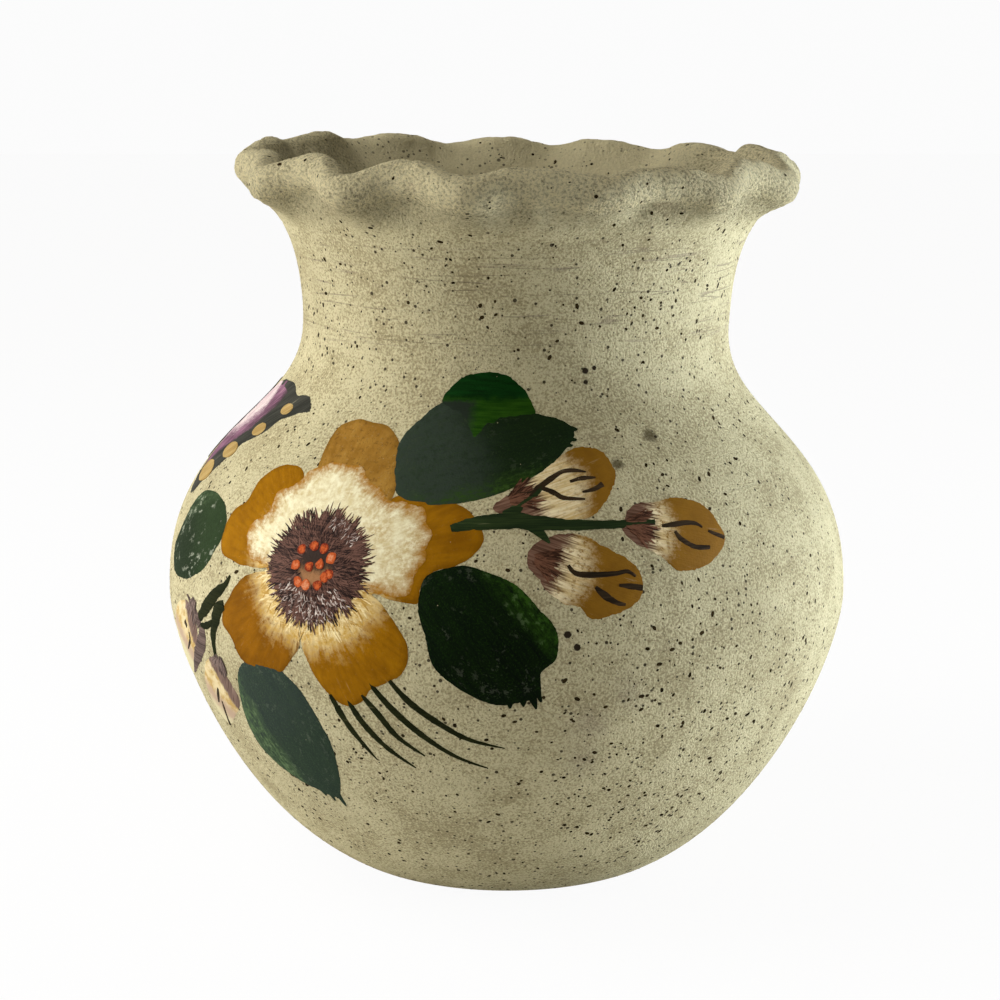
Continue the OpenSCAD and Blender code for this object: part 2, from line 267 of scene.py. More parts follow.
def lip_section(by):
    """The lip grown by a distance, from the outside of the seam over the edge and down inside."""
    edge = Vector((LIP_R - LIP_T / 2, LIP_TOP - LIP_T / 2))
    end = edge + LIP_T / 2 * across(LIP_SLOPE)
    pull = (end - SEAM).length / 3
    start_handle = SEAM + pull * along(COLLAR_SLOPE)
    end_handle = end - pull * along(LIP_SLOPE)
    line = curve([SEAM, start_handle, end_handle, end], LIP_STEPS)
    out = plain([Vector((radius_at(grown(CLAY_LINE, by), SEAM.y), SEAM.y))])
    back = plain([Vector((radius_at(grown(CLAY_LINE, -WALL - by), SEAM.y), SEAM.y))])
    for i in range(1, LIP_STEPS + 1):
        part = i / LIP_STEPS
        share = part ** PINCH_GROWTH
        hollow = math.sin(math.pi * part ** HOLLOW_LIFT) ** HOLLOW_POWER
        thick = WALL + (LIP_T - WALL) * part
        out.append((line[i] + by * line_normal(line, i), share, hollow))
        back.append((line[i] - (thick + by) * line_normal(line, i), share, 0))
    for k in range(1, EDGE_STEPS):
        out.append((edge + (LIP_T / 2 + by) * across(LIP_SLOPE + 180 * k / EDGE_STEPS), 1, 0))
    return out + back[::-1]


def slip_section():
    """The slip skin, out over the lip, down inside and back under itself, and how many points show."""
    def side(outside, inside, by):
        return (
            plain(clipped(outside, SLIP_FOOT_Z, SEAM.y)[:-1])
            + lip_section(by)
            + plain(clipped(inside, SLIP_INSIDE_Z, SEAM.y)[:-1][::-1])
        )
    under = side(CLAY_LINE, INNER_LINE, 0)
    thinned = under[:1] + under[1:-1:HIDDEN_STEP] + under[-1:]
    skin = side(SLIP_LINE, LINING_LINE, SLIP_T)
    return skin + thinned[::-1], len(skin)


def keyed_seam(z):
    """A luted seam across the wall, from the outside in, with its ridge."""
    outer = radius_at(CLAY_LINE, z)
    inner = radius_at(INNER_LINE, z)
    mid = (outer + inner) / 2
    across_wall = [(outer, z), (mid + KEY_W / 2, z), (mid, z + KEY_H), (mid - KEY_W / 2, z), (inner, z)]
    return [Vector(p) for p in across_wall]


def wall_section(bottom, top):
    """The clay wall between two seams."""
    outside = clipped(CLAY_LINE, bottom[0].y, top[0].y)
    inside = clipped(INNER_LINE, bottom[0].y, top[0].y)
    return plain(bottom[1:][::-1] + outside[:-1] + top[:-1] + inside[1:][::-1])


def flat_seam(z):
    return [Vector((radius_at(CLAY_LINE, z), z)), Vector((radius_at(INNER_LINE, z), z))]


def base_section():
    side = clipped(CLAY_LINE, 0, BASE_T)[:-1]
    return plain([Vector((AXIS_R, 0))] + side + keyed_seam(BASE_T) + [Vector((AXIS_R, BASE_T))])


# The hand-built form, and flat paint wrapped onto it

def smooth_step(low, high, value):
    t = min(1, max(0, (value - low) / (high - low)))
    return t * t * (3 - 2 * t)


def handmade(x, y, z):
    """A point of the turned pot in millimetres, as it lies on the leaning, uneven one in metres."""
    lean = LEAN * smooth_step(LEAN_FROM, LEAN_TO, z)
    tilt = TILT * smooth_step(TILT_FROM, TILT_TO, z)
    fade = smooth_step(0, EVEN_FOOT, z)
    r = max(1, math.hypot(x, y))
    swell = fade * UNEVEN * noise.noise(Vector((x, y, z * UNEVEN_RISE)) / UNEVEN_SIZE) / r
    moved = Vector((x * (1 + swell) + lean, y * (1 + swell), z - tilt * x))
    crumbly = smooth_step(CRUMBLY_FROM, CRUMBLY_TO, z)
    if crumbly > 0:
        lump = noise.noise_vector(Vector((x, y, z)) / LUMP_SIZE)
        crumb = noise.noise_vector(Vector((x, y, z)) / CRUMB_SIZE)
        grit = noise.noise_vector(Vector((x, y, z)) / GRIT_SIZE)
        moved += crumbly * (LUMPS * lump + CRUMBS * crumb + GRIT * grit)
    return moved * MM


def slip_path():
    """The slip's outer line with the distance along it at each point."""
    line = clipped(SLIP_LINE, SLIP_FOOT_Z, SEAM.y)
    path = [(0, line[0])]
    for a, b in zip(line, line[1:]):
        path.append((path[-1][0] + (b - a).length, b))
    return path


SLIP_PATH = slip_path()


def path_at_height(z):
    for (s0, a), (s1, b) in zip(SLIP_PATH, SLIP_PATH[1:]):
        if a.y <= z <= b.y:
            return s0 + (s1 - s0) * (z - a.y) / (b.y - a.y)
    return SLIP_PATH[-1][0]


def on_path(s):
    """The point of the slip's line at a distance along it, and the way out of the surface there."""
    for i in range(1, len(SLIP_PATH)):
        if s <= SLIP_PATH[i][0] or i == len(SLIP_PATH) - 1:
            s0, a = SLIP_PATH[i - 1]
            way = (SLIP_PATH[i][1] - a).normalized()
            return a + way * (s - s0), Vector((way.y, -way.x))
    return None


def on_pot(place, x, y, height):
    """A point so far right of a place, above it along the surface and out of the surface."""
    azimuth, z = place
    point, out = on_path(path_at_height(z) + y)
    turn = math.radians(azimuth) + x / point.x
    lifted = point + height * out
    return handmade(lifted.x * math.sin(turn), -lifted.x * math.cos(turn), lifted.y)


# Node trees, written as nested calls: each call adds a node and returns one of its outputs

def wire(tree, socket, value):
    """Links an input to another node's output, or sets it to a plain value."""
    if isinstance(value, bpy.types.NodeSocket):
        tree.links.new(value, socket)
    else:
        socket.default_value = value


def add(tree, kind, wires=None, out=0, **settings):
    node = tree.nodes.new(kind)
    for key, value in settings.items():
        setattr(node, key, value)
    for key, value in (wires or {}).items():
        wire(tree, node.inputs[key], value)
    return node.outputs[out]


def calc(tree, operation, *values):
    return add(tree, "ShaderNodeMath", dict(enumerate(values)), operation=operation)


def ramp(tree, value, low, high):
    """0 at low and 1 at high, smooth in between."""
    wires = {"Value": value, "From Min": low, "From Max": high}
    return add(tree, "ShaderNodeMapRange", wires, interpolation_type="SMOOTHSTEP")


def scaled(tree, vector, by):
    return add(tree, "ShaderNodeVectorMath", {0: vector, 1: by}, operation="MULTIPLY")


def noise_of(tree, vector, scale, detail=2.0, roughness=0.5):
    wires = {"Vector": vector, "Scale": scale, "Detail": detail, "Roughness": roughness}
    return add(tree, "ShaderNodeTexNoise", wires)


def product(tree, first, *others):
    result = first
    for other in others:
        result = calc(tree, "MULTIPLY", result, other)
    return result


def distance_between(tree, first, second):
    wires = {0: first, 1: second}
    return add(tree, "ShaderNodeVectorMath", wires, out="Value", operation="DISTANCE")


def chance(tree, seed, low=0.0, high=1.0):
    wires = {2: low, 3: high, "Seed": seed}
    return add(tree, "FunctionNodeRandomValue", wires, out=1, data_type="FLOAT")


def mixed(tree, share, first, second):
    """A colour between two: the first where the share is 0 and the second where it is 1."""
    wires = {0: share, 6: first, 7: second}
    return add(tree, "ShaderNodeMix", wires, out=2, data_type="RGBA")


def laid_on(tree, coat, mask, strength, over):
    """A coat with another colour over it where a mask is, as strong as given."""
    return mixed(tree, calc(tree, "MULTIPLY", mask, strength), coat, over)


def colour(red, green, blue):
    return (red, green, blue, 1.0)


def darker(tone, share):
    return colour(*(share * part for part in tone[:3]))


def new_group(kind, name, inputs, outputs):
    """A node group with its sockets, and the nodes that stand for them inside it."""
    tree = bpy.data.node_groups.new(name, kind)
    for label, socket, default in inputs:
        made = tree.interface.new_socket(label, in_out="INPUT", socket_type=socket)
        if default is not None:
            made.default_value = default
    for label, socket in outputs:
        tree.interface.new_socket(label, in_out="OUTPUT", socket_type=socket)
    return tree, tree.nodes.new("NodeGroupInput").outputs, tree.nodes.new("NodeGroupOutput").inputs


FLOAT = "NodeSocketFloat"
INTEGER = "NodeSocketInt"
VECTOR = "NodeSocketVector"
SHAPE = "NodeSocketGeometry"
FINISH = "NodeSocketMaterial"


def millimetres(tree):
    """Object coordinates in millimetres."""
    coordinates = add(tree, "ShaderNodeTexCoord", out="Object")
    return scaled(tree, coordinates, (1000, 1000, 1000))


# Shader groups that more than one finish uses

def sandy_grain_group():
    """The gritty skin of fired slip: a height for the bump, a tone and dark flecks."""
    inputs = [("Grain Size", FLOAT, 0.5), ("Patch Size", FLOAT, 9.0)]
    outputs = [("Height", FLOAT), ("Tone", FLOAT), ("Fleck", FLOAT)]
    tree, given, made = new_group("ShaderNodeTree", "sandy grain", inputs, outputs)
    place = millimetres(tree)
    fine = noise_of(tree, place, calc(tree, "DIVIDE", 1.0, given["Grain Size"]), 2.0, 0.6)
    patches = noise_of(tree, place, calc(tree, "DIVIDE", 1.0, given["Patch Size"]), 3.0, 0.6)
    worn = ramp(tree, patches, 0.3, 0.7)
    gritty = calc(tree, "MULTIPLY", fine, calc(tree, "MULTIPLY_ADD", worn, 0.6, 0.4))
    tree.links.new(gritty, made["Height"])
    tone = calc(tree, "MULTIPLY_ADD", fine, 0.65, calc(tree, "MULTIPLY", patches, 0.35))
    tree.links.new(tone, made["Tone"])
    apart = add(tree, "ShaderNodeVectorMath", {0: place, 1: (31.0, 17.0, 5.0)}, operation="ADD")
    flecks = noise_of(tree, apart, calc(tree, "DIVIDE", 0.9, given["Grain Size"]), 3.0, 0.7)
    thick = calc(tree, "MULTIPLY_ADD", patches, 0.12, flecks)
    tree.links.new(ramp(tree, thick, 0.69, 0.76), made["Fleck"])
    return tree


def speck_group():
    """Round specks scattered through the body: 1 inside a speck and 0 outside."""
    inputs = [("Spacing", FLOAT, 3.0), ("Radius", FLOAT, 0.3), ("Share", FLOAT, 0.5)]
    tree, given, made = new_group("ShaderNodeTree", "specks", inputs, [("Mask", FLOAT)])
    place = millimetres(tree)
    scale = calc(tree, "DIVIDE", 1.0, given["Spacing"])
    cells = tree.nodes.new("ShaderNodeTexVoronoi")
    tree.links.new(place, cells.inputs["Vector"])
    tree.links.new(scale, cells.inputs["Scale"])
    pick = add(tree, "ShaderNodeSeparateColor", {0: cells.outputs["Color"]})
    kept = calc(tree, "LESS_THAN", pick, given["Share"])
    reach = calc(tree, "MULTIPLY", given["Radius"], scale)
    reach = calc(tree, "MULTIPLY", reach, calc(tree, "MULTIPLY_ADD", pick, 1.0, 0.5))
    edge = calc(tree, "SUBTRACT", reach, cells.outputs["Distance"])
    soft = ramp(tree, edge, 0.0, calc(tree, "MULTIPLY", reach, 0.2))
    tree.links.new(calc(tree, "MULTIPLY", soft, kept), made["Mask"])
    return tree


def brush_group():
    """Marks of a dry brush along a stroke: streaks, bare gaps and ridges of paint."""
    inputs = [("Flat", VECTOR, None), ("Hair Width", FLOAT, 0.5), ("Stroke Length", FLOAT, 9.0)]
    outputs = [("Streak", FLOAT), ("Gap", FLOAT), ("Ridge", FLOAT)]
    tree, given, made = new_group("ShaderNodeTree", "brush marks", inputs, outputs)
    parts = add(tree, "ShaderNodeSeparateXYZ", {0: given["Flat"]})
    split = parts.node.outputs
    lengthwise = calc(tree, "DIVIDE", split["X"], given["Stroke Length"])
    crosswise = calc(tree, "DIVIDE", split["Y"], given["Hair Width"])
    hair = add(tree, "ShaderNodeCombineXYZ", {0: lengthwise, 1: crosswise, 2: 2.9})
    streak = noise_of(tree, hair, 1.0, 2.0, 0.55)
    wide = add(tree, "ShaderNodeCombineXYZ", {
        0: calc(tree, "MULTIPLY", lengthwise, 0.7),
        1: calc(tree, "MULTIPLY", crosswise, 0.22),
        2: 7.3,
    })
    band = noise_of(tree, wide, 1.0, 2.0, 0.5)
    both = calc(tree, "MULTIPLY_ADD", streak, 0.6, calc(tree, "MULTIPLY", band, 0.4))
    tree.links.new(ramp(tree, both, 0.32, 0.68), made["Streak"])
    tree.links.new(ramp(tree, calc(tree, "MULTIPLY", streak, band), 0.4, 0.47), made["Gap"])
    tree.links.new(streak, made["Ridge"])
    return tree


SANDY_GRAIN = sandy_grain_group()
SPECKS = speck_group()
BRUSH_MARKS = brush_group()


def use_group(tree, group, **wires):
    node = tree.nodes.new("ShaderNodeGroup")
    node.node_tree = group
    for key, value in wires.items():
        wire(tree, node.inputs[key.replace("_", " ").title()], value)
    return node.outputs


# Colours, in linear light

SLIP_PALE = colour(0.56, 0.515, 0.32)
SLIP_DULL = colour(0.29, 0.25, 0.14)
SLIP_GREY = colour(0.19, 0.15, 0.12)
IRON = colour(0.02, 0.013, 0.006)
# Brown of the blots on the slip, and of the painted shade in the lip's sunken crumbs
BLOT_AND_SHADE_BROWN = colour(0.05, 0.036, 0.012)
RUST = colour(0.19, 0.095, 0.05)
# Sand on the lip, and the painted highlight on its crumbs and edge and the painted light on its far side
SAND_AND_HIGHLIGHT = colour(0.80, 0.72, 0.44)
CLAY_PALE = colour(0.47, 0.27, 0.16)
CLAY_BURNT = colour(0.30, 0.155, 0.09)
CRACK_BROWN = colour(0.10, 0.04, 0.008)
CREAM_STAIN = colour(0.44, 0.30, 0.11)
THIN_OCHRE = colour(0.32, 0.14, 0.006)
# Pale scuffs on the leaves: partly wear, partly painted sheen
SCUFF_AND_SHEEN = colour(0.30, 0.33, 0.25)
LOBE_SHADE = colour(0.016, 0.024, 0.016)
DOT_BRIGHT = colour(0.66, 0.32, 0.17)
SIDE_BUD_PALE = colour(0.66, 0.57, 0.38)
SIDE_BUD_TIP = colour(0.42, 0.31, 0.22)
WING_GREY = colour(0.03, 0.03, 0.025)

# Pairs of colours that a finish runs between

IRON_TONES = (colour(0.014, 0.009, 0.003), colour(0.036, 0.024, 0.009))
PETAL_TONES = (colour(0.20, 0.08, 0.001), colour(0.32, 0.14, 0.002))
WORN_PETAL_TONES = (colour(0.22, 0.105, 0.012), colour(0.35, 0.19, 0.034))
DEEP_PETAL_TONES = (colour(0.15, 0.056, 0.001), colour(0.25, 0.10, 0.002))
PETAL_CREAM_TONES = (colour(0.50, 0.31, 0.07), colour(0.80, 0.66, 0.34))
CREAM_TONES = (colour(0.60, 0.51, 0.27), colour(0.83, 0.80, 0.57))
CREAM_HAIR_TONES = (colour(0.45, 0.27, 0.06), colour(0.82, 0.69, 0.38))
EYE_TONES = (colour(0.012, 0.005, 0.004), colour(0.07, 0.033, 0.025))
EYE_MIDDLE_TONES = (colour(0.025, 0.013, 0.008), colour(0.31, 0.15, 0.06))
EYE_HAIR_TONES = (colour(0.010, 0.004, 0.003), colour(0.15, 0.075, 0.055))
# Painted highlights: pale glints of light on the flower's eye
GLINT_TONES = (colour(0.16, 0.10, 0.085), colour(0.66, 0.58, 0.52))
DOT_TONES = (colour(0.17, 0.018, 0.007), colour(0.52, 0.10, 0.022))
LOBE_DEEP_TONES = (colour(0.002, 0.016, 0.002), colour(0.004, 0.04, 0.005))
LOBE_OLIVE_TONES = (colour(0.006, 0.034, 0.002), colour(0.024, 0.078, 0.005))
STEM_TONES = (colour(0.008, 0.017, 0.006), colour(0.026, 0.044, 0.013))
DARK_STEM_TONES = (colour(0.006, 0.009, 0.002), colour(0.02, 0.023, 0.007))
DUSKY_TONES = (colour(0.05, 0.035, 0.03), colour(0.16, 0.115, 0.10))
SEPAL_TONES = (colour(0.012, 0.008, 0.004), colour(0.05, 0.032, 0.016))
BUD_FOOT_TONES = (colour(0.06, 0.026, 0.013), colour(0.22, 0.12, 0.08))
BUD_OCHRE_TONES = (colour(0.15, 0.064, 0.002), colour(0.27, 0.13, 0.007))
BUD_CREAM_TONES = (colour(0.60, 0.43, 0.17), colour(0.90, 0.80, 0.53))
SIDE_BUD_TONES = (colour(0.62, 0.52, 0.30), colour(0.44, 0.30, 0.10))
SIDE_BUD_MAUVE_TONES = (colour(0.09, 0.055, 0.045), colour(0.22, 0.15, 0.12))
CALYX_TONES = (colour(0.028, 0.011, 0.005), colour(0.165, 0.073, 0.042))
DUSKY_HAIR_TONES = (colour(0.06, 0.04, 0.034), colour(0.19, 0.135, 0.115))
WING_TONES = (colour(0.018, 0.019, 0.015), colour(0.052, 0.052, 0.042))
WING_WHITE_TONES = (colour(0.46, 0.32, 0.37), colour(0.76, 0.70, 0.65))
WING_MAUVE_TONES = (colour(0.06, 0.026, 0.042), colour(0.27, 0.13, 0.20))
SPOT_TONES = (colour(0.28, 0.18, 0.055), colour(0.44, 0.32, 0.13))

# Marks on the slip, each with its middle and its radius in millimetres, and how far their edges wander
SMUDGES = [((24, -75, 60), 7), ((17, -75, 54), 9), ((16, -75, 46), 8)]
BOLD_SPECKS = [
    ((12.1, -78.5, 73.8), 0.9),
    ((14, -78.5, 71), 0.75),
    ((16.4, -47.5, 122.7), 0.8),
    ((18.3, -46.8, 123.2), 0.65),
    ((16.5, -48, 120.4), 0.7),
]
BLOTS = [((29.9, -49.3, 109), 2.3), ((22.7, -57.2, 104.3), 2)]
RUST_MARKS = [((-39, -44, 157), 5.5), ((-20, -59, 162), 3), ((33, -52, 157), 4)]
MARK_WANDER = 1.4
MARK_EDGE = 1.7

# The sand in the slip, which shows through the paint, and the spread of a brush's hairs round the flower
SLIP_GRAIN = 0.5
SLIP_PATCH = 11.0
RAY_SPREAD = 16.0


# Finishes

def new_finish(name, roughness, specular):
    """A material with its node tree and its shader's sockets."""
    finish = bpy.data.materials.new(name)
    finish.use_nodes = True
    tree = finish.node_tree
    shader = tree.nodes["Principled BSDF"].inputs
    shader["Roughness"].default_value = roughness
    shader["Specular IOR Level"].default_value = specular
    return finish, tree, shader


def set_bump(tree, shader, height, strength, distance):
    wires = {"Height": height, "Strength": strength, "Distance": distance * MM}
    tree.links.new(add(tree, "ShaderNodeBump", wires), shader["Normal"])


def marked(tree, place, marks, softness, wander_scale=0.45):
    """Where soft-edged marks lie: 1 in the middle of each and 0 away from them."""
    wander = noise_of(tree, place, wander_scale, 4.0, 0.7)
    shown = 0.0
    for middle, radius in marks:
        away = calc(tree, "DIVIDE", distance_between(tree, place, middle), radius)
        reach = calc(tree, "MULTIPLY_ADD", wander, MARK_WANDER, away)
        shown = calc(tree, "MAXIMUM", shown, ramp(tree, reach, MARK_EDGE, MARK_EDGE - softness))
    return shown


def throwing_lines(tree, place, height):
    """Thin level lines from the wheel and the slip brush, strongest at the neck."""
    drawn = noise_of(tree, scaled(tree, place, (0.012, 0.012, 0.3)), 1.0, 2.0, 0.6)
    line = ramp(tree, calc(tree, "PINGPONG", calc(tree, "MULTIPLY", drawn, 6.0), 0.5), 0.1, 0.02)
    neck = product(tree, ramp(tree, height, 122.0, 132.0), ramp(tree, height, 152.0, 146.0))
    broken = ramp(tree, noise_of(tree, scaled(tree, place, (0.06, 0.06, 0.3)), 1.0, 2.0), 0.42, 0.6)
    return product(tree, line, broken, calc(tree, "MULTIPLY_ADD", neck, 0.8, 0.2))


def slip_ground(tree, place, grain, bands):
    """Pale slip over dull, in grains, in level bands and in clouds."""
    coat = mixed(tree, ramp(tree, grain["Tone"], 0.375, 0.59), SLIP_DULL, SLIP_PALE)
    coat = laid_on(tree, coat, ramp(tree, bands, 0.5, 0.72), 0.25, SLIP_PALE)
    clouds = noise_of(tree, place, 0.03, 3.0, 0.6)
    return laid_on(tree, coat, ramp(tree, clouds, 0.5, 0.75), 0.3, SLIP_DULL)


def slip_marks(tree, place, coat, lines):
    """Lines from the wheel, and the smudges, blots and rust of making and handling."""
    coat = laid_on(tree, coat, lines, 0.45, SLIP_GREY)
    coat = laid_on(tree, coat, marked(tree, place, SMUDGES, 1.6, 0.16), 0.5, SLIP_GREY)
    coat = laid_on(tree, coat, marked(tree, place, BLOTS, 0.6), 0.8, BLOT_AND_SHADE_BROWN)
    return laid_on(tree, coat, marked(tree, place, RUST_MARKS, 1.0), 0.55, RUST)


def slip_specks(tree, place, coat, grain):
    """Iron in the slip, from bold specks to flecks and pinpoints."""
    coat = mixed(tree, marked(tree, place, BOLD_SPECKS, 0.3), coat, IRON)
    coat = laid_on(tree, coat, grain["Fleck"], 0.7, IRON)
    pinpoints = use_group(tree, SPECKS, spacing=1.7, radius=0.38, share=0.6)["Mask"]
    coat = laid_on(tree, coat, pinpoints, 0.9, IRON)
    dots = use_group(tree, SPECKS, spacing=3.8, radius=0.55, share=0.4)["Mask"]
    return laid_on(tree, coat, dots, 0.9, IRON)


def lip_sand_and_painted_light(tree, place, coat, rim, crumbs):
    """Sand on the lip with painted light: paler raised crumbs, partly sand and partly painted highlight;
    a painted highlight along the top edge; painted shade as brown in the sunken crumbs; painted light
    paling its far side; and dark mould inside that far side.
    """
    # Paler where the crumbs stand up: partly sand, partly a painted highlight on the raised crumbs
    grains = calc(tree, "MULTIPLY_ADD", ramp(tree, crumbs, 0.45, 0.57), 0.85, 0.3)
    # A painted highlight along the lip's top edge
    edge = ramp(tree, add(tree, "ShaderNodeAttribute", out="Fac", attribute_name="rim"), 0.72, 1.0)
    sand_and_edge_highlight = calc(tree, "MULTIPLY_ADD", edge, 0.55, calc(tree, "MULTIPLY", rim, 0.6))
    coat = mixed(tree, calc(tree, "MINIMUM", 1.0, product(tree, grains, sand_and_edge_highlight)), coat, SAND_AND_HIGHLIGHT)
    # Painted shade: brown in the sunken crumbs
    coat = laid_on(tree, coat, product(tree, ramp(tree, crumbs, 0.42, 0.34), rim), 0.42, BLOT_AND_SHADE_BROWN)
    # Painted light: the far side of the lip, whose inner wall faces the camera, is made paler; dark mould
    # specks lie there too
    far_side = ramp(tree, add(tree, "ShaderNodeSeparateXYZ", {0: place}, out="Y"), 30.0, 42.0)
    coat = laid_on(tree, coat, product(tree, far_side, rim), 0.75, SAND_AND_HIGHLIGHT)
    mould = use_group(tree, SPECKS, spacing=1.5, radius=0.42, share=0.75)["Mask"]
    clusters = ramp(tree, noise_of(tree, place, 0.1, 2.0), 0.44, 0.55)
    return laid_on(tree, coat, product(tree, mould, far_side, clusters, rim), 0.75, IRON)


def slip_finish():
    """Pale matte slip: sandy, brushed on in level bands, specked with iron and smudged by handling."""
    finish, tree, shader = new_finish("slip", 0.95, 0.12)
    place = millimetres(tree)
    height = add(tree, "ShaderNodeSeparateXYZ", {0: place}, out="Z")
    grain = use_group(tree, SANDY_GRAIN, grain_size=SLIP_GRAIN, patch_size=SLIP_PATCH)
    bands = noise_of(tree, scaled(tree, place, (0.018, 0.018, 0.85)), 1.0, 3.0, 0.65)
    lines = throwing_lines(tree, place, height)
    rim = ramp(tree, height, 150.0, 158.0)
    crumbs = noise_of(tree, place, 1.6, 4.0, 0.7)
    coat = slip_ground(tree, place, grain, bands)
    coat = slip_marks(tree, place, coat, lines)
    coat = slip_specks(tree, place, coat, grain)
    # Sand on the lip, with painted highlights on its crumbs and edge, painted shade in its sunken crumbs
    # and painted light on its far side
    coat = lip_sand_and_painted_light(tree, place, coat, rim, crumbs)
    tree.links.new(coat, shader["Base Color"])
    skin = calc(tree, "MULTIPLY_ADD", bands, 0.3, grain["Height"])
    skin = calc(tree, "MULTIPLY_ADD", product(tree, crumbs, rim), 5.0, skin)
    skin = calc(tree, "MULTIPLY_ADD", lines, -0.3, skin)
    set_bump(tree, shader, skin, 0.9, 0.5)
    return finish


def clay_finish():
    """Bare fired earthenware."""
    finish, tree, shader = new_finish("bare clay", 0.95, 0.15)
    place = millimetres(tree)
    grain = use_group(tree, SANDY_GRAIN, grain_size=0.8, patch_size=16.0)
    coat = mixed(tree, ramp(tree, grain["Tone"], 0.3, 0.7), CLAY_BURNT, CLAY_PALE)
    rings = noise_of(tree, scaled(tree, place, (0.01, 0.01, 0.35)), 1.0, 2.0, 0.5)
    coat = laid_on(tree, coat, ramp(tree, rings, 0.4, 0.7), 0.3, CLAY_BURNT)
    specks = use_group(tree, SPECKS, spacing=3.0, radius=0.3, share=0.4)["Mask"]
    coat = laid_on(tree, coat, specks, 0.7, IRON)
    tree.links.new(coat, shader["Base Color"])
    skin = calc(tree, "MULTIPLY_ADD", rings, 1.5, grain["Height"])
    set_bump(tree, shader, skin, 0.7, 0.35)
    return finish


def iron_finish():
    """Iron specks burnt into the slip."""
    finish, tree, shader = new_finish("iron specks", 0.9, 0.03)
    tone = noise_of(tree, millimetres(tree), 0.6, 2.0)
    coat = mixed(tree, ramp(tree, tone, 0.35, 0.65), *IRON_TONES)
    tree.links.new(coat, shader["Base Color"])
    return finish


def flat_place(tree):
    """Where a point of a painted film lies in its own flat drawing, in millimetres."""
    return add(tree, "ShaderNodeAttribute", out="Vector", attribute_name="flat")


def flat_parts(tree, flat):
    """The parts of a flat place: X along the stroke, Y across it and Z in from the edge."""
    return add(tree, "ShaderNodeSeparateXYZ", {0: flat}).node.outputs


def brush_stroke(tree, hair_width, stroke_length):
    """A point's flat place, the parts of that place and the marks of the brush there."""
    flat = flat_place(tree)
    marks = use_group(tree, BRUSH_MARKS, flat=flat, hair_width=hair_width, stroke_length=stroke_length)
    return flat, flat_parts(tree, flat), marks


def finish_paint(tree, shader, coat, marks, gaps, pits=0.3, ridge=0.4, sand=0.5):
    """Bare gaps and pits, sand under the paint and ridges of the brush, shared by most paints."""
    grain = use_group(tree, SANDY_GRAIN, grain_size=SLIP_GRAIN, patch_size=SLIP_PATCH)
    bare = calc(tree, "MULTIPLY", marks["Gap"], gaps)
    pitted = use_group(tree, SPECKS, spacing=2.4, radius=0.22, share=0.14)["Mask"]
    bare = calc(tree, "MAXIMUM", bare, calc(tree, "MULTIPLY", pitted, pits))
    tree.links.new(mixed(tree, bare, coat, SLIP_PALE), shader["Base Color"])
    sandy = calc(tree, "MULTIPLY", grain["Height"], sand)
    skin = calc(tree, "MULTIPLY_ADD", marks["Ridge"], ridge, sandy)
    set_bump(tree, shader, skin, 0.7, 0.3)


def from_middle(tree, flat):
    """A point's place in the flower's drawing, and how far it is from the flower's middle."""
    level = scaled(tree, flat, (1, 1, 0))
    reach = add(tree, "ShaderNodeVectorMath", {0: level}, out="Value", operation="LENGTH")
    return level, reach


def radial_marks(tree, level, reach, hair_width, stroke_length):
    """Brush marks that run out from the flower's middle."""
    parts = flat_parts(tree, level)
    turn = calc(tree, "ARCTAN2", parts["Y"], parts["X"])
    ray = add(tree, "ShaderNodeCombineXYZ", {0: reach, 1: calc(tree, "MULTIPLY", turn, RAY_SPREAD)})
    return use_group(tree, BRUSH_MARKS, flat=ray, hair_width=hair_width, stroke_length=stroke_length)


def petal_finish(name, tones, gaps):
    """An ochre petal that turns to mottled cream towards the flower's eye."""
    finish, tree, shader = new_finish(name, 0.7, 0.03)
    flat = flat_place(tree)
    level, reach = from_middle(tree, flat)
    marks = radial_marks(tree, level, reach, 0.9, 7.0)
    cloud = noise_of(tree, level, 0.16, 3.0, 0.6)
    mottle = noise_of(tree, level, 0.5, 4.0, 0.75)
    worn = noise_of(tree, level, 1.4, 3.0, 0.7)
    crackle = noise_of(tree, level, 0.9, 5.0, 0.8)
    shade = calc(tree, "MULTIPLY_ADD", marks["Streak"], 0.25, calc(tree, "MULTIPLY", cloud, 0.85))
    ochre = mixed(tree, ramp(tree, shade, 0.25, 0.85), *tones)
    ochre = laid_on(tree, ochre, ramp(tree, worn, 0.6, 0.72), gaps, SLIP_DULL)
    ochre = laid_on(tree, ochre, ramp(tree, crackle, 0.53, 0.63), gaps, CRACK_BROWN)
    inset = flat_parts(tree, flat)["Z"]
    ochre = laid_on(tree, ochre, ramp(tree, inset, 1.3, 0.0), 0.35, darker(tones[0], 0.5))
    cream = mixed(tree, ramp(tree, mottle, 0.35, 0.65), *PETAL_CREAM_TONES)
    feather = calc(tree, "MULTIPLY_ADD", mottle, 14.0, calc(tree, "MULTIPLY", marks["Streak"], 3.0))
    pale = ramp(tree, calc(tree, "ADD", reach, feather), 29.5, 22.5)
    finish_paint(tree, shader, mixed(tree, pale, ochre, cream), marks, gaps)
    return finish


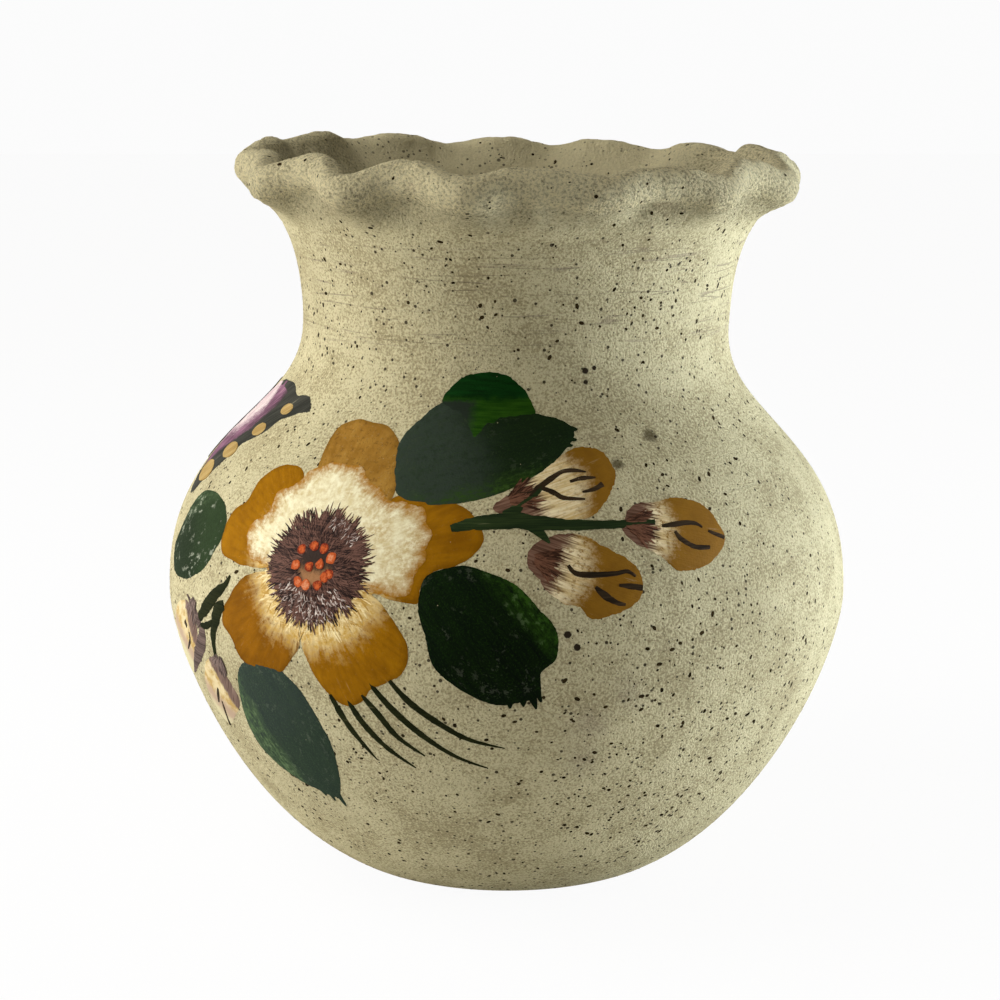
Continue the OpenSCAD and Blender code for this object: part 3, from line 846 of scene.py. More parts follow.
def cream_finish():
    """Thick cream dabbed over the petals, mottled, and thinning to ochre at its feathered edge."""
    finish, tree, shader = new_finish("cream paint", 0.7, 0.1)
    flat = flat_place(tree)
    parts = flat_parts(tree, flat)
    level, reach = from_middle(tree, flat)
    marks = radial_marks(tree, level, reach, 0.6, 4.0)
    mottle = noise_of(tree, level, 0.5, 5.0, 0.75)
    dabs = noise_of(tree, level, 1.1, 3.0, 0.65)
    shade = calc(tree, "MULTIPLY_ADD", marks["Streak"], 0.12, mottle)
    coat = mixed(tree, ramp(tree, shade, 0.32, 0.78), *CREAM_TONES)
    stain = calc(tree, "MULTIPLY_ADD", parts["X"], 0.006, noise_of(tree, level, 0.17, 3.0, 0.65))
    rubbed = product(tree, ramp(tree, stain, 0.45, 0.7), ramp(tree, dabs, 0.35, 0.65))
    coat = laid_on(tree, coat, rubbed, 0.7, CREAM_STAIN)
    feather = calc(tree, "MULTIPLY_ADD", mottle, 6.0, calc(tree, "MULTIPLY", dabs, 2.5))
    feather = calc(tree, "ADD", marks["Streak"], feather)
    thin = ramp(tree, calc(tree, "ADD", parts["Z"], feather), 8.4, 4.2)
    tree.links.new(mixed(tree, thin, coat, THIN_OCHRE), shader["Base Color"])
    set_bump(tree, shader, calc(tree, "ADD", dabs, mottle), 0.4, 0.2)
    return finish


def eye_finish():
    """The flower's brown eye, streaked outwards and paler in the middle."""
    finish, tree, shader = new_finish("eye film paint", 0.65, 0.1)
    level, reach = from_middle(tree, flat_place(tree))
    marks = radial_marks(tree, level, reach, 0.45, 4.0)
    streaked = mixed(tree, marks["Streak"], *EYE_TONES)
    cloud = noise_of(tree, level, 0.8, 3.0, 0.7)
    low = calc(tree, "MULTIPLY_ADD", cloud, 5.0, flat_parts(tree, level)["Y"])
    middle = mixed(tree, ramp(tree, low, 3.5, 0.0), *EYE_MIDDLE_TONES)
    coat = mixed(tree, ramp(tree, reach, 5.0, 3.0), streaked, middle)
    finish_paint(tree, shader, coat, marks, 0.0)
    return finish


def dot_finish():
    """Stamen dabs: orange in the middle, red at the edge, each with its own tone."""
    finish, tree, shader = new_finish("stamen paint", 0.7, 0.06)
    flat = flat_place(tree)
    tone = add(tree, "ShaderNodeAttribute", out="Fac", attribute_name="tone")
    mottle = noise_of(tree, flat, 1.3, 4.0, 0.8)
    inset = calc(tree, "SUBTRACT", flat_parts(tree, flat)["Z"], 0.4)
    inner = ramp(tree, calc(tree, "MULTIPLY_ADD", mottle, 0.8, inset), 0.0, 0.8)
    plain_shade = calc(tree, "MULTIPLY_ADD", tone, 0.4, calc(tree, "MULTIPLY", inner, 0.3))
    lowered = calc(tree, "SUBTRACT", plain_shade, 0.1)
    shade = calc(tree, "MULTIPLY_ADD", ramp(tree, mottle, 0.35, 0.65), 0.4, lowered)
    coat = mixed(tree, ramp(tree, shade, 0.1, 0.55), *DOT_TONES)
    coat = laid_on(tree, coat, ramp(tree, shade, 0.55, 0.95), 0.75, DOT_BRIGHT)
    tree.links.new(coat, shader["Base Color"])
    set_bump(tree, shader, mottle, 0.6, 0.3)
    return finish


def leaf_finish(name, foot_slate_sheen, deep, bright, bright_side, bright_from, pits, scuffs_and_sheen):
    """A dark green leaf: slate at its foot as a painted sheen, deeper at its tip, lighter green along one
    side, pale scuffs that are partly wear and partly painted sheen, and painted glints as light flecks.
    """
    finish, tree, shader = new_finish(name, 0.7, 0.03)
    flat, parts, marks = brush_stroke(tree, 0.6, 9.0)
    cloud = noise_of(tree, flat, 0.13, 4.0, 0.65)
    mottle = noise_of(tree, flat, 0.6, 3.0, 0.7)
    grit = noise_of(tree, flat, 2.4, 2.0, 0.7)
    lengthwise = calc(tree, "MULTIPLY_ADD", cloud, 16.0, calc(tree, "SUBTRACT", parts["X"], 8.0))
    # The slate at the foot is a painted sheen: light shining off the satin paint at that end
    coat = mixed(tree, ramp(tree, lengthwise, -7.0, 7.0), foot_slate_sheen, deep)
    coat = laid_on(tree, coat, ramp(tree, mottle, 0.45, 0.7), 0.45, deep)
    coat = laid_on(tree, coat, marks["Streak"], 0.09, bright)
    side = calc(tree, "MULTIPLY_ADD", cloud, 8.0, calc(tree, "MULTIPLY", parts["Y"], bright_side))
    lit = ramp(tree, side, bright_from, bright_from + 5.0)
    patchy = calc(tree, "MULTIPLY_ADD", marks["Streak"], 0.5, ramp(tree, mottle, 0.4, 0.7))
    coat = mixed(tree, calc(tree, "MINIMUM", 1.0, product(tree, lit, patchy)), coat, bright)
    rubbed = product(tree, ramp(tree, cloud, 0.5, 0.6), ramp(tree, mottle, 0.53, 0.62))
    # Pale scuffs: partly wear, partly painted sheen in glossy streaks
    coat = laid_on(tree, coat, rubbed, scuffs_and_sheen, SCUFF_AND_SHEEN)
    # Painted glints: light flecks on the paint's sandy grain
    coat = laid_on(tree, coat, ramp(tree, grit, 0.52, 0.66), 0.22, bright)
    finish_paint(tree, shader, coat, marks, 0.0, pits=pits, ridge=0.3, sand=0.8)
    return finish


def lobe_finish():
    """The bright lobe of the upper leaf: deep green above, olive strokes where it crosses the leaf."""
    finish, tree, shader = new_finish("bright leaf paint", 0.7, 0.02)
    flat, parts, marks = brush_stroke(tree, 0.7, 6.0)
    mottle = noise_of(tree, flat, 0.5, 4.0, 0.7)
    down = calc(tree, "MULTIPLY_ADD", mottle, 3.0, parts["Y"])
    deep = mixed(tree, marks["Streak"], *LOBE_DEEP_TONES)
    olive = mixed(tree, marks["Streak"], *LOBE_OLIVE_TONES)
    coat = mixed(tree, ramp(tree, down, 15.5, 14.0), deep, olive)
    left = ramp(tree, calc(tree, "MULTIPLY_ADD", mottle, 4.0, parts["X"]), 0.5, -2.5)
    coat = mixed(tree, product(tree, left, ramp(tree, down, 14.6, 13.6)), coat, LOBE_SHADE)
    finish_paint(tree, shader, coat, marks, 0.0, pits=0.4, ridge=0.5, sand=0.8)
    return finish


def stroke_finish(name, tones, roughness, gaps):
    """Paint of one hue, streaked along the brush."""
    finish, tree, shader = new_finish(name, roughness, 0.03)
    marks = use_group(tree, BRUSH_MARKS, flat=flat_place(tree), hair_width=0.4, stroke_length=8.0)
    finish_paint(tree, shader, mixed(tree, marks["Streak"], *tones), marks, gaps)
    return finish


def hair_finish(name, tones):
    """Single hairs of paint, each with its own tone between two colours."""
    finish, tree, shader = new_finish(name, 0.6, 0.06)
    tone = add(tree, "ShaderNodeAttribute", out="Fac", attribute_name="tone")
    marks = use_group(tree, BRUSH_MARKS, flat=flat_place(tree), hair_width=0.4, stroke_length=6.0)
    shade = calc(tree, "MULTIPLY_ADD", marks["Streak"], 0.4, calc(tree, "MULTIPLY", tone, 0.6))
    coat = mixed(tree, ramp(tree, shade, 0.2, 0.8), *tones)
    finish_paint(tree, shader, coat, marks, 0.0, pits=0.0)
    return finish


def bud_finish(name, ochre_from, stain):
    """A bud from its brown foot through cream to an ochre tip, whose edge bends round the cream."""
    finish, tree, shader = new_finish(name, 0.7, 0.1)
    flat, parts, marks = brush_stroke(tree, 0.4, 6.0)
    cloud = noise_of(tree, flat, 0.3, 3.0, 0.65)
    mottle = noise_of(tree, flat, 0.8, 4.0, 0.75)
    foot = mixed(tree, marks["Streak"], *BUD_FOOT_TONES)
    ochre = mixed(tree, cloud, *BUD_OCHRE_TONES)
    cream = mixed(tree, marks["Streak"], *BUD_CREAM_TONES)
    cream = laid_on(tree, cream, ramp(tree, mottle, 0.5, 0.66), stain, ochre)
    rough = calc(tree, "MULTIPLY_ADD", marks["Streak"], 4.0, calc(tree, "MULTIPLY", cloud, 3.0))
    from_foot = calc(tree, "ADD", parts["X"], rough)
    coat = mixed(tree, ramp(tree, from_foot, -3.5, 0.5), foot, cream)
    bend = product(tree, parts["Y"], parts["Y"], 0.05)
    ragged = calc(tree, "MULTIPLY_ADD", mottle, 7.0, calc(tree, "MULTIPLY", marks["Streak"], 1.2))
    from_tip = calc(tree, "ADD", calc(tree, "ADD", parts["X"], bend), ragged)
    coat = mixed(tree, ramp(tree, from_tip, ochre_from, ochre_from + 6.4), coat, ochre)
    finish_paint(tree, shader, coat, marks, 0.2)
    return finish


def side_bud_finish(name):
    """A bud seen from its side: mottled cream, dusky mauve on its right, fading out towards its tip."""
    finish, tree, shader = new_finish(name, 0.7, 0.03)
    flat, parts, marks = brush_stroke(tree, 0.5, 6.0)
    cloud = noise_of(tree, flat, 0.25, 3.0, 0.65)
    mottle = noise_of(tree, flat, 0.8, 4.0, 0.75)
    cream = mixed(tree, ramp(tree, cloud, 0.4, 0.6), *SIDE_BUD_TONES)
    cream = mixed(tree, ramp(tree, mottle, 0.5, 0.7), cream, SIDE_BUD_PALE)
    lengthwise = calc(tree, "MULTIPLY_ADD", mottle, 5.0, parts["X"])
    coat = mixed(tree, ramp(tree, lengthwise, 3.5, 7.0), cream, SIDE_BUD_TIP)
    coat = mixed(tree, ramp(tree, lengthwise, 8.0, 12.0), coat, SLIP_PALE)
    mauve = mixed(tree, marks["Streak"], *SIDE_BUD_MAUVE_TONES)
    rough = calc(tree, "MULTIPLY_ADD", mottle, 4.0, calc(tree, "MULTIPLY", marks["Streak"], 1.5))
    side = calc(tree, "ADD", calc(tree, "MULTIPLY_ADD", parts["X"], -1.5, parts["Y"]), rough)
    coat = mixed(tree, ramp(tree, side, 6.0, 8.5), coat, mauve)
    finish_paint(tree, shader, coat, marks, 0.2)
    return finish


def panel_finish():
    """The inside of a wing: mottled white, with dusky mauve at its ends and by the dark margin."""
    finish, tree, shader = new_finish("wing panel paint", 0.8, 0.1)
    flat, parts, marks = brush_stroke(tree, 0.5, 4.0)
    mottle = noise_of(tree, flat, 1.3, 4.0, 0.8)
    white = mixed(tree, marks["Streak"], *WING_WHITE_TONES)
    mauve = mixed(tree, marks["Streak"], *WING_MAUVE_TONES)
    near_end = ramp(tree, parts["X"], 0.0, 6.5)
    far_end = ramp(tree, parts["X"], -8.0, -15.0)
    ends = calc(tree, "MULTIPLY_ADD", near_end, 2.2, far_end)
    from_margin = calc(tree, "MULTIPLY_ADD", ends, -4.0, calc(tree, "ADD", parts["Y"], 8.0))
    ragged = calc(tree, "MULTIPLY_ADD", mottle, -14.0, calc(tree, "MULTIPLY", marks["Streak"], -2.5))
    coat = mixed(tree, ramp(tree, calc(tree, "ADD", from_margin, ragged), 5.0, 0.0), white, mauve)
    thin = ramp(tree, calc(tree, "MULTIPLY_ADD", mottle, 5.0, parts["Z"]), 5.2, 2.8)
    coat = mixed(tree, product(tree, thin, ramp(tree, parts["Y"], 3.0, 0.0)), coat, WING_GREY)
    finish_paint(tree, shader, coat, marks, 0.25)
    return finish


SLIP = slip_finish()
CLAY = clay_finish()
IRON_SPECKS = iron_finish()
PETAL_PAINT = petal_finish("petal paint", PETAL_TONES, 0.15)
WORN_PETAL_PAINT = petal_finish("worn petal paint", WORN_PETAL_TONES, 0.6)
DEEP_PETAL_PAINT = petal_finish("deep petal paint", DEEP_PETAL_TONES, 0.15)
CREAM_PAINT = cream_finish()
CREAM_HAIR_PAINT = hair_finish("cream hair paint", CREAM_HAIR_TONES)
EYE_PAINT = eye_finish()
EYE_HAIR_PAINT = hair_finish("eye hair paint", EYE_HAIR_TONES)
# Painted highlights on the eye, drawn as pale hairs
GLINT_PAINT = hair_finish("eye glint paint", GLINT_TONES)
DOT_PAINT = dot_finish()
CALYX_PAINT = hair_finish("calyx paint", CALYX_TONES)
DUSKY_HAIR_PAINT = hair_finish("dusky calyx paint", DUSKY_HAIR_TONES)
BUD_PAINTS = {
    "bud_upper": bud_finish("upper bud paint", ochre_from=6.3, stain=0.3),
    "bud_end": bud_finish("end bud paint", ochre_from=-0.2, stain=0.9),
    "bud_lower": bud_finish("lower bud paint", ochre_from=1.3, stain=0.75),
    "bud_left_upper": side_bud_finish("left upper bud paint"),
    "bud_left_lower": side_bud_finish("left lower bud paint"),
}
# A leaf's slate is a painted sheen at its foot, and its scuffs are partly painted sheen
LEAF_PAINTS = {
    "leaf_upper": leaf_finish(
        "upper leaf paint",
        foot_slate_sheen=colour(0.027, 0.039, 0.029),
        deep=colour(0.006, 0.014, 0.005),
        bright=colour(0.026, 0.062, 0.008),
        bright_side=-1.0,
        bright_from=9.0,
        pits=0.5,
        scuffs_and_sheen=0.04,
    ),
    "leaf_lower_right": leaf_finish(
        "right leaf paint",
        foot_slate_sheen=colour(0.0016, 0.005, 0.0016),
        deep=colour(0.001, 0.003, 0.001),
        bright=colour(0.024, 0.07, 0.006),
        bright_side=1.0,
        bright_from=9.5,
        pits=0.6,
        scuffs_and_sheen=0.1,
    ),
    "leaf_lower_left": leaf_finish(
        "left leaf paint",
        foot_slate_sheen=colour(0.025, 0.038, 0.032),
        deep=colour(0.02, 0.034, 0.024),
        bright=colour(0.075, 0.125, 0.055),
        bright_side=-1.0,
        bright_from=10.0,
        pits=0.35,
        scuffs_and_sheen=0.1,
    ),
    "leaf_left": leaf_finish(
        "side leaf paint",
        foot_slate_sheen=colour(0.018, 0.034, 0.012),
        deep=colour(0.009, 0.017, 0.006),
        bright=colour(0.05, 0.08, 0.035),
        bright_side=-1.0,
        bright_from=9.0,
        pits=0.8,
        scuffs_and_sheen=0.8,
    ),
}
LOBE_PAINT = lobe_finish()
STEM_PAINT = stroke_finish("stem paint", STEM_TONES, 0.7, 0.15)
DARK_STEM_PAINT = stroke_finish("dark stem paint", DARK_STEM_TONES, 0.7, 0.15)
DUSKY_PAINT = stroke_finish("dusky stroke paint", DUSKY_TONES, 0.7, 0.1)
SEPAL_PAINT = stroke_finish("sepal paint", SEPAL_TONES, 0.6, 0.1)
WING_PAINT = stroke_finish("wing paint", WING_TONES, 0.7, 0.25)
SPOT_PAINT = stroke_finish("wing spot paint", SPOT_TONES, 0.7, 0.2)
PANEL_PAINT = panel_finish()


# Geometry Nodes trees

# Iron grains: how much rarer the large ones are, and half their thickness in metres
GRAIN_RARITY = 3.2
GRAIN_T = 0.00004


def put_out(tree, shape, finish, socket):
    """Hands out a tree's shape as plain mesh with its finish."""
    real = add(tree, "GeometryNodeRealizeInstances", {0: shape})
    wires = {"Geometry": real, "Material": finish}
    tree.links.new(add(tree, "GeometryNodeSetMaterial", wires), socket)


def round_the_lip(tree, turn, strengths):
    """The strength of the pinch at a turn from the first crest, smooth from each pinch to the next."""
    share = calc(tree, "FRACT", calc(tree, "DIVIDE", turn, math.tau))
    strength = add(tree, "ShaderNodeFloatCurve", {"Value": share})
    mapping = strength.node.mapping
    points = mapping.curves[0].points
    points[0].location = (0, strengths[0])
    points[1].location = (1, strengths[0])
    for k in range(1, len(strengths)):
        points.new(k / len(strengths), strengths[k])
    mapping.update()
    return strength


def pinched(tree, given, part, turn, attribute):
    """The radius and height of a section's point at a turn, as fingers and thumbs moved it."""
    from_crest = calc(tree, "SUBTRACT", turn, given["Crest Azimuth"])
    half_pinch = calc(tree, "DIVIDE", given["Pinches"], 2)
    half_wave = calc(tree, "SINE", calc(tree, "MULTIPLY", from_crest, half_pinch))
    trough = calc(tree, "POWER", calc(tree, "MULTIPLY", half_wave, half_wave), TROUGH_POWER)
    wave = calc(tree, "MULTIPLY_ADD", trough, 2.0, -1.0)
    swayed = round_the_lip(tree, from_crest, SWAYS)
    sway = product(tree, attribute("sway"), wave, swayed)
    twist = calc(tree, "MULTIPLY", calc(tree, "SUBTRACT", 1.0, attribute("sway")), given["Twist"])
    phase = calc(tree, "MULTIPLY_ADD", from_crest, given["Pinches"], twist)
    phase = calc(tree, "MULTIPLY_ADD", calc(tree, "COSINE", phase), given["Skew"], phase)
    crest = calc(tree, "MULTIPLY_ADD", calc(tree, "COSINE", phase), 0.5, 0.5)
    crest = calc(tree, "POWER", crest, CREST_POWER)
    dented = calc(tree, "MULTIPLY", round_the_lip(tree, from_crest, DENTS), given["Hollow"])
    dent = product(tree, attribute("hollow"), crest, dented)
    radius = calc(tree, "MULTIPLY_ADD", sway, given["Depth"], part["X"])
    radius = calc(tree, "MULTIPLY_ADD", dent, -DENT_IN, radius)
    height = calc(tree, "SUBTRACT", part["Z"], calc(tree, "MULTIPLY", sway, given["Rise"]))
    height = calc(tree, "MULTIPLY_ADD", dent, DENT_UP, height)
    lifted = calc(tree, "MULTIPLY", round_the_lip(tree, from_crest, LIFTS), given["Lift"])
    height = calc(tree, "MULTIPLY_ADD", attribute("sway"), lifted, height)
    return radius, height


def turned_tree():
    """A section turned about the axis, its lip swayed by finger pinches and dented by thumbs."""
    inputs = [
        ("Section", SHAPE, None),
        ("Around", INTEGER, 280),
        ("Pinches", INTEGER, 14),
        ("Crest Azimuth", FLOAT, 0.0),
        ("Depth", FLOAT, 0.0),
        ("Rise", FLOAT, 0.0),
        ("Lift", FLOAT, 0.0),
        ("Hollow", FLOAT, 0.0),
        ("Twist", FLOAT, 0.0),
        ("Skew", FLOAT, 0.0),
        ("Finish", FINISH, None),
    ]
    tree, given, made = new_group("GeometryNodeTree", "turned and pinched", inputs, [("Piece", SHAPE)])
    count = add(tree, "GeometryNodeAttributeDomainSize", {0: given["Section"]}, out="Point Count")
    rows = calc(tree, "ADD", count, 1)
    columns = calc(tree, "ADD", given["Around"], 1)
    sheet = add(tree, "GeometryNodeMeshGrid", {"Vertices X": columns, "Vertices Y": rows})
    index = add(tree, "GeometryNodeInputIndex")
    column = calc(tree, "FLOOR", calc(tree, "DIVIDE", index, rows))
    item = calc(tree, "MODULO", calc(tree, "MODULO", index, rows), count)

    def of_section(value, kind):
        wires = {"Geometry": given["Section"], "Value": value, "Index": item}
        return add(tree, "GeometryNodeSampleIndex", wires, data_type=kind)

    def attribute(name):
        named = add(tree, "GeometryNodeInputNamedAttribute", {"Name": name}, data_type="FLOAT")
        return of_section(named, "FLOAT")

    point = of_section(add(tree, "GeometryNodeInputPosition"), "FLOAT_VECTOR")
    part = add(tree, "ShaderNodeSeparateXYZ", {0: point}).node.outputs
    turn = calc(tree, "DIVIDE", calc(tree, "MULTIPLY", column, math.tau), given["Around"])
    radius, height = pinched(tree, given, part, turn, attribute)
    turned = add(tree, "ShaderNodeCombineXYZ", {
        0: calc(tree, "MULTIPLY", radius, calc(tree, "SINE", turn)),
        1: calc(tree, "MULTIPLY", radius, calc(tree, "MULTIPLY", calc(tree, "COSINE", turn), -1)),
        2: height,
    })
    shape = add(tree, "GeometryNodeSetPosition", {"Geometry": sheet, "Position": turned})
    for name, value in (("skin", attribute("skin")), ("rim", attribute("sway"))):
        wires = {"Geometry": shape, "Name": name, "Value": value}
        shape = add(tree, "GeometryNodeStoreNamedAttribute", wires, data_type="FLOAT", domain="POINT")
    closed = add(tree, "GeometryNodeMergeByDistance", {"Geometry": shape, "Distance": MERGE_GAP})
    put_out(tree, closed, given["Finish"], made["Piece"])
    return tree


def hair_tree():
    """Fine brush hairs fanned out flat from a centre, each a slim closed spindle with its own tone."""
    inputs = [
        ("Empty", SHAPE, None),
        ("Count", INTEGER, 100),
        ("Inner Radius", FLOAT, 1.0),
        ("Root Spread", FLOAT, 1.0),
        ("Length", FLOAT, 5.0),
        ("Length Spread", FLOAT, 0.4),
        ("Width", FLOAT, 0.4),
        ("Thickness", FLOAT, 0.3),
        ("Start Angle", FLOAT, 0.0),
        ("Arc", FLOAT, math.tau),
        ("Stray", FLOAT, 0.2),
        ("Seed", INTEGER, 1),
        ("Finish", FINISH, None),
    ]
    tree, given, made = new_group("GeometryNodeTree", "brush hairs", inputs, [("Hairs", SHAPE)])

    def drawn(offset, low=0.0, high=1.0):
        return chance(tree, calc(tree, "ADD", given["Seed"], offset), low, high)

    angle = calc(tree, "MULTIPLY_ADD", drawn(1), given["Arc"], given["Start Angle"])
    root = calc(tree, "MULTIPLY_ADD", drawn(2), given["Root Spread"], given["Inner Radius"])
    short = calc(tree, "SUBTRACT", 1.0, calc(tree, "MULTIPLY", drawn(3), given["Length Spread"]))
    half = product(tree, given["Length"], short, 0.5)
    middle = calc(tree, "ADD", root, half)
    spot = add(tree, "ShaderNodeCombineXYZ", {
        0: calc(tree, "MULTIPLY", middle, calc(tree, "COSINE", angle)),
        1: calc(tree, "MULTIPLY", middle, calc(tree, "SINE", angle)),
    })
    points = add(tree, "GeometryNodePoints", {"Count": given["Count"], "Position": spot})
    spindle = add(tree, "GeometryNodeMeshUVSphere", {"Segments": 6, "Rings": 6, "Radius": 1.0})
    lying = add(tree, "GeometryNodeTransform", {"Geometry": spindle, "Rotation": (0, math.pi / 2, 0)})
    heading = calc(tree, "MULTIPLY_ADD", drawn(4, -1.0, 1.0), given["Stray"], angle)
    size = add(tree, "ShaderNodeCombineXYZ", {
        0: half,
        1: calc(tree, "MULTIPLY", given["Width"], drawn(5, 0.3, 0.7)),
        2: given["Thickness"],
    })
    turn = add(tree, "ShaderNodeCombineXYZ", {2: heading})
    hairs = add(tree, "GeometryNodeInstanceOnPoints", {
        "Points": points,
        "Instance": lying,
        "Rotation": turn,
        "Scale": size,
    })
    toned = add(tree, "GeometryNodeStoreNamedAttribute", {
        "Geometry": hairs,
        "Name": "tone",
        "Value": drawn(6),
    }, data_type="FLOAT", domain="INSTANCE")
    put_out(tree, toned, given["Finish"], made["Hairs"])
    return tree


def grain_tree():
    """Iron grains flat on a skin: more in patches, in one shower and low down, fewer on the lip."""
    inputs = [
        ("Surface", SHAPE, None),
        ("Density", FLOAT, 8000.0),
        ("Patch Scale", FLOAT, 20.0),
        ("Lip Height", FLOAT, 0.15),
        ("Low Height", FLOAT, 0.05),
        ("Shower Middle", VECTOR, None),
        ("Shower Reach", FLOAT, 0.05),
        ("Smallest", FLOAT, 0.0002),
        ("Largest", FLOAT, 0.0006),
        ("Seed", INTEGER, 1),
        ("Finish", FINISH, None),
    ]
    tree, given, made = new_group("GeometryNodeTree", "iron grains", inputs, [("Grains", SHAPE)])
    place = add(tree, "GeometryNodeInputPosition")
    patch = ramp(tree, noise_of(tree, place, given["Patch Scale"], 2.0), 0.35, 0.65)
    height = add(tree, "ShaderNodeSeparateXYZ", {0: place}, out="Z")
    lip = calc(tree, "GREATER_THAN", height, given["Lip Height"])
    low_down = ramp(tree, height, given["Low Height"], calc(tree, "MULTIPLY", given["Low Height"], 0.5))
    away = distance_between(tree, place, given["Shower Middle"])
    shower = ramp(tree, away, given["Shower Reach"], calc(tree, "MULTIPLY", given["Shower Reach"], 0.4))
    crowd = calc(tree, "MULTIPLY_ADD", shower, 0.9, calc(tree, "MULTIPLY_ADD", patch, 0.6, 0.2))
    crowd = calc(tree, "MULTIPLY_ADD", low_down, 0.3, crowd)
    crowd = calc(tree, "MULTIPLY", crowd, calc(tree, "MULTIPLY_ADD", lip, -0.5, 1.0))
    skin = add(tree, "GeometryNodeInputNamedAttribute", {"Name": "skin"}, data_type="FLOAT")
    density = calc(tree, "MULTIPLY", given["Density"], calc(tree, "MULTIPLY", crowd, skin))
    spread = tree.nodes.new("GeometryNodeDistributePointsOnFaces")
    tree.links.new(given["Surface"], spread.inputs["Mesh"])
    tree.links.new(density, spread.inputs["Density"])
    tree.links.new(given["Seed"], spread.inputs["Seed"])
    rare = calc(tree, "POWER", chance(tree, 11), GRAIN_RARITY)
    span = calc(tree, "SUBTRACT", given["Largest"], given["Smallest"])
    width = calc(tree, "MULTIPLY_ADD", rare, span, given["Smallest"])
    size = add(tree, "ShaderNodeCombineXYZ", {
        0: calc(tree, "MULTIPLY", width, chance(tree, 12, 0.9, 1.8)),
        1: width,
        2: GRAIN_T,
    })
    grain = add(tree, "GeometryNodeMeshIcoSphere", {"Radius": 1.0, "Subdivisions": 1})
    spin = add(tree, "ShaderNodeCombineXYZ", {2: chance(tree, 13, 0.0, math.tau)})
    turned = add(tree, "FunctionNodeRotateRotation", {
        0: spread.outputs["Rotation"],
        1: add(tree, "FunctionNodeEulerToRotation", {0: spin}),
    }, rotation_space="LOCAL")
    grains = add(tree, "GeometryNodeInstanceOnPoints", {
        "Points": spread.outputs["Points"],
        "Instance": grain,
        "Rotation": turned,
        "Scale": size,
    })
    put_out(tree, grains, given["Finish"], made["Grains"])
    return tree


TURNED = turned_tree()
HAIRS = hair_tree()
GRAINS = grain_tree()


def grow(tree, base, values):
    """The plain mesh that a tree makes from a base mesh, with its named inputs set."""
    maker = bpy.data.objects.new("maker", base)
    bpy.context.scene.collection.objects.link(maker)
    nodes = maker.modifiers.new("nodes", "NODES")
    nodes.node_group = tree
    for socket in tree.interface.items_tree:
        if socket.in_out == "INPUT" and socket.name in values:
            nodes[socket.identifier] = values[socket.name]
    depsgraph = bpy.context.evaluated_depsgraph_get()
    mesh = bpy.data.meshes.new_from_object(maker.evaluated_get(depsgraph))
    bpy.data.objects.remove(maker)
    return mesh


# Pieces

def finished_piece(name, mesh, nodes, sharp=PAINT_SHARP):
    """A mesh as a piece that rides on the pot in place of its CAD nodes."""
    work = bmesh.new()
    work.from_mesh(mesh)
    bmesh.ops.recalc_face_normals(work, faces=work.faces)
    work.to_mesh(mesh)
    work.free()
    mesh.shade_smooth()
    mesh.set_sharp_from_angle(angle=math.radians(sharp))
    mesh.name = name
    piece = bpy.data.objects.new(name, mesh)
    bpy.context.scene.collection.objects.link(piece)
    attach(piece, "root")
    if nodes:
        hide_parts(*nodes)
    return piece


def turned_mesh(section, finish, around, shown=0):
    """A section turned, pinched and bent to the hand-built form; its first points are those shown."""
    base = bpy.data.meshes.new("section")
    base.from_pydata([(p.x, 0, p.y) for p, sway, hollow in section], [], [])
    shares = {
        "sway": [sway for p, sway, hollow in section],
        "hollow": [hollow for p, sway, hollow in section],
        "skin": [1.0 if i < shown else 0.0 for i in range(len(section))],
    }
    for name, values in shares.items():
        kept = base.attributes.new(name, "FLOAT", "POINT")
        kept.data.foreach_set("value", values)
    mesh = grow(TURNED, base, {
        "Around": around,
        "Pinches": PINCHES,
        "Crest Azimuth": math.radians(CREST_AZ),
        "Depth": PINCH_DEPTH,
        "Rise": PINCH_RISE,
        "Lift": LIFT,
        "Hollow": HOLLOW_DEPTH,
        "Twist": HOLLOW_TWIST,
        "Skew": HOLLOW_SKEW,
        "Finish": finish,
    })
    for vertex in mesh.vertices:
        vertex.co = handmade(*vertex.co)
    return mesh


def clay_pieces():
    sections = {
        "base_disc": base_section(),
        "lower_bowl": wall_section(keyed_seam(BASE_T), keyed_seam(BELLY.y)),
        "shoulder": wall_section(keyed_seam(BELLY.y), keyed_seam(WAIST.y)),
        "neck_collar": wall_section(keyed_seam(WAIST.y), flat_seam(SEAM.y)),
        "ruffled_lip": lip_section(0),
    }
    for node, section in sections.items():
        around = AROUND if node == "ruffled_lip" else CLAY_AROUND
        finished_piece("clay_" + node, turned_mesh(section, CLAY, around), [node], CLAY_SHARP)


# The iron grains: how many to a square metre, where they crowd and how large they are, in metres
IRON_GRAINS = {
    "Density": 145000.0,
    "Patch Scale": 22.0,
    "Lip Height": 0.152,
    "Low Height": 0.05,
    "Shower Middle": (0.046, -0.06, 0.048),
    "Shower Reach": 0.05,
    "Smallest": 0.00009,
    "Largest": 0.0005,
    "Seed": GRAIN_SEED,
    "Finish": IRON_SPECKS,
}


def slip_pieces():
    section, shown = slip_section()
    coat = finished_piece(
        "slip_coat",
        turned_mesh(section, SLIP, AROUND, shown),
        ["body_slip", "neck_lining", "lip_slip"],
    )
    grains = grow(GRAINS, coat.data.copy(), IRON_GRAINS)
    finished_piece("iron_specks", grains, [])


# Flat drawings of the paint, in millimetres from each motif's place

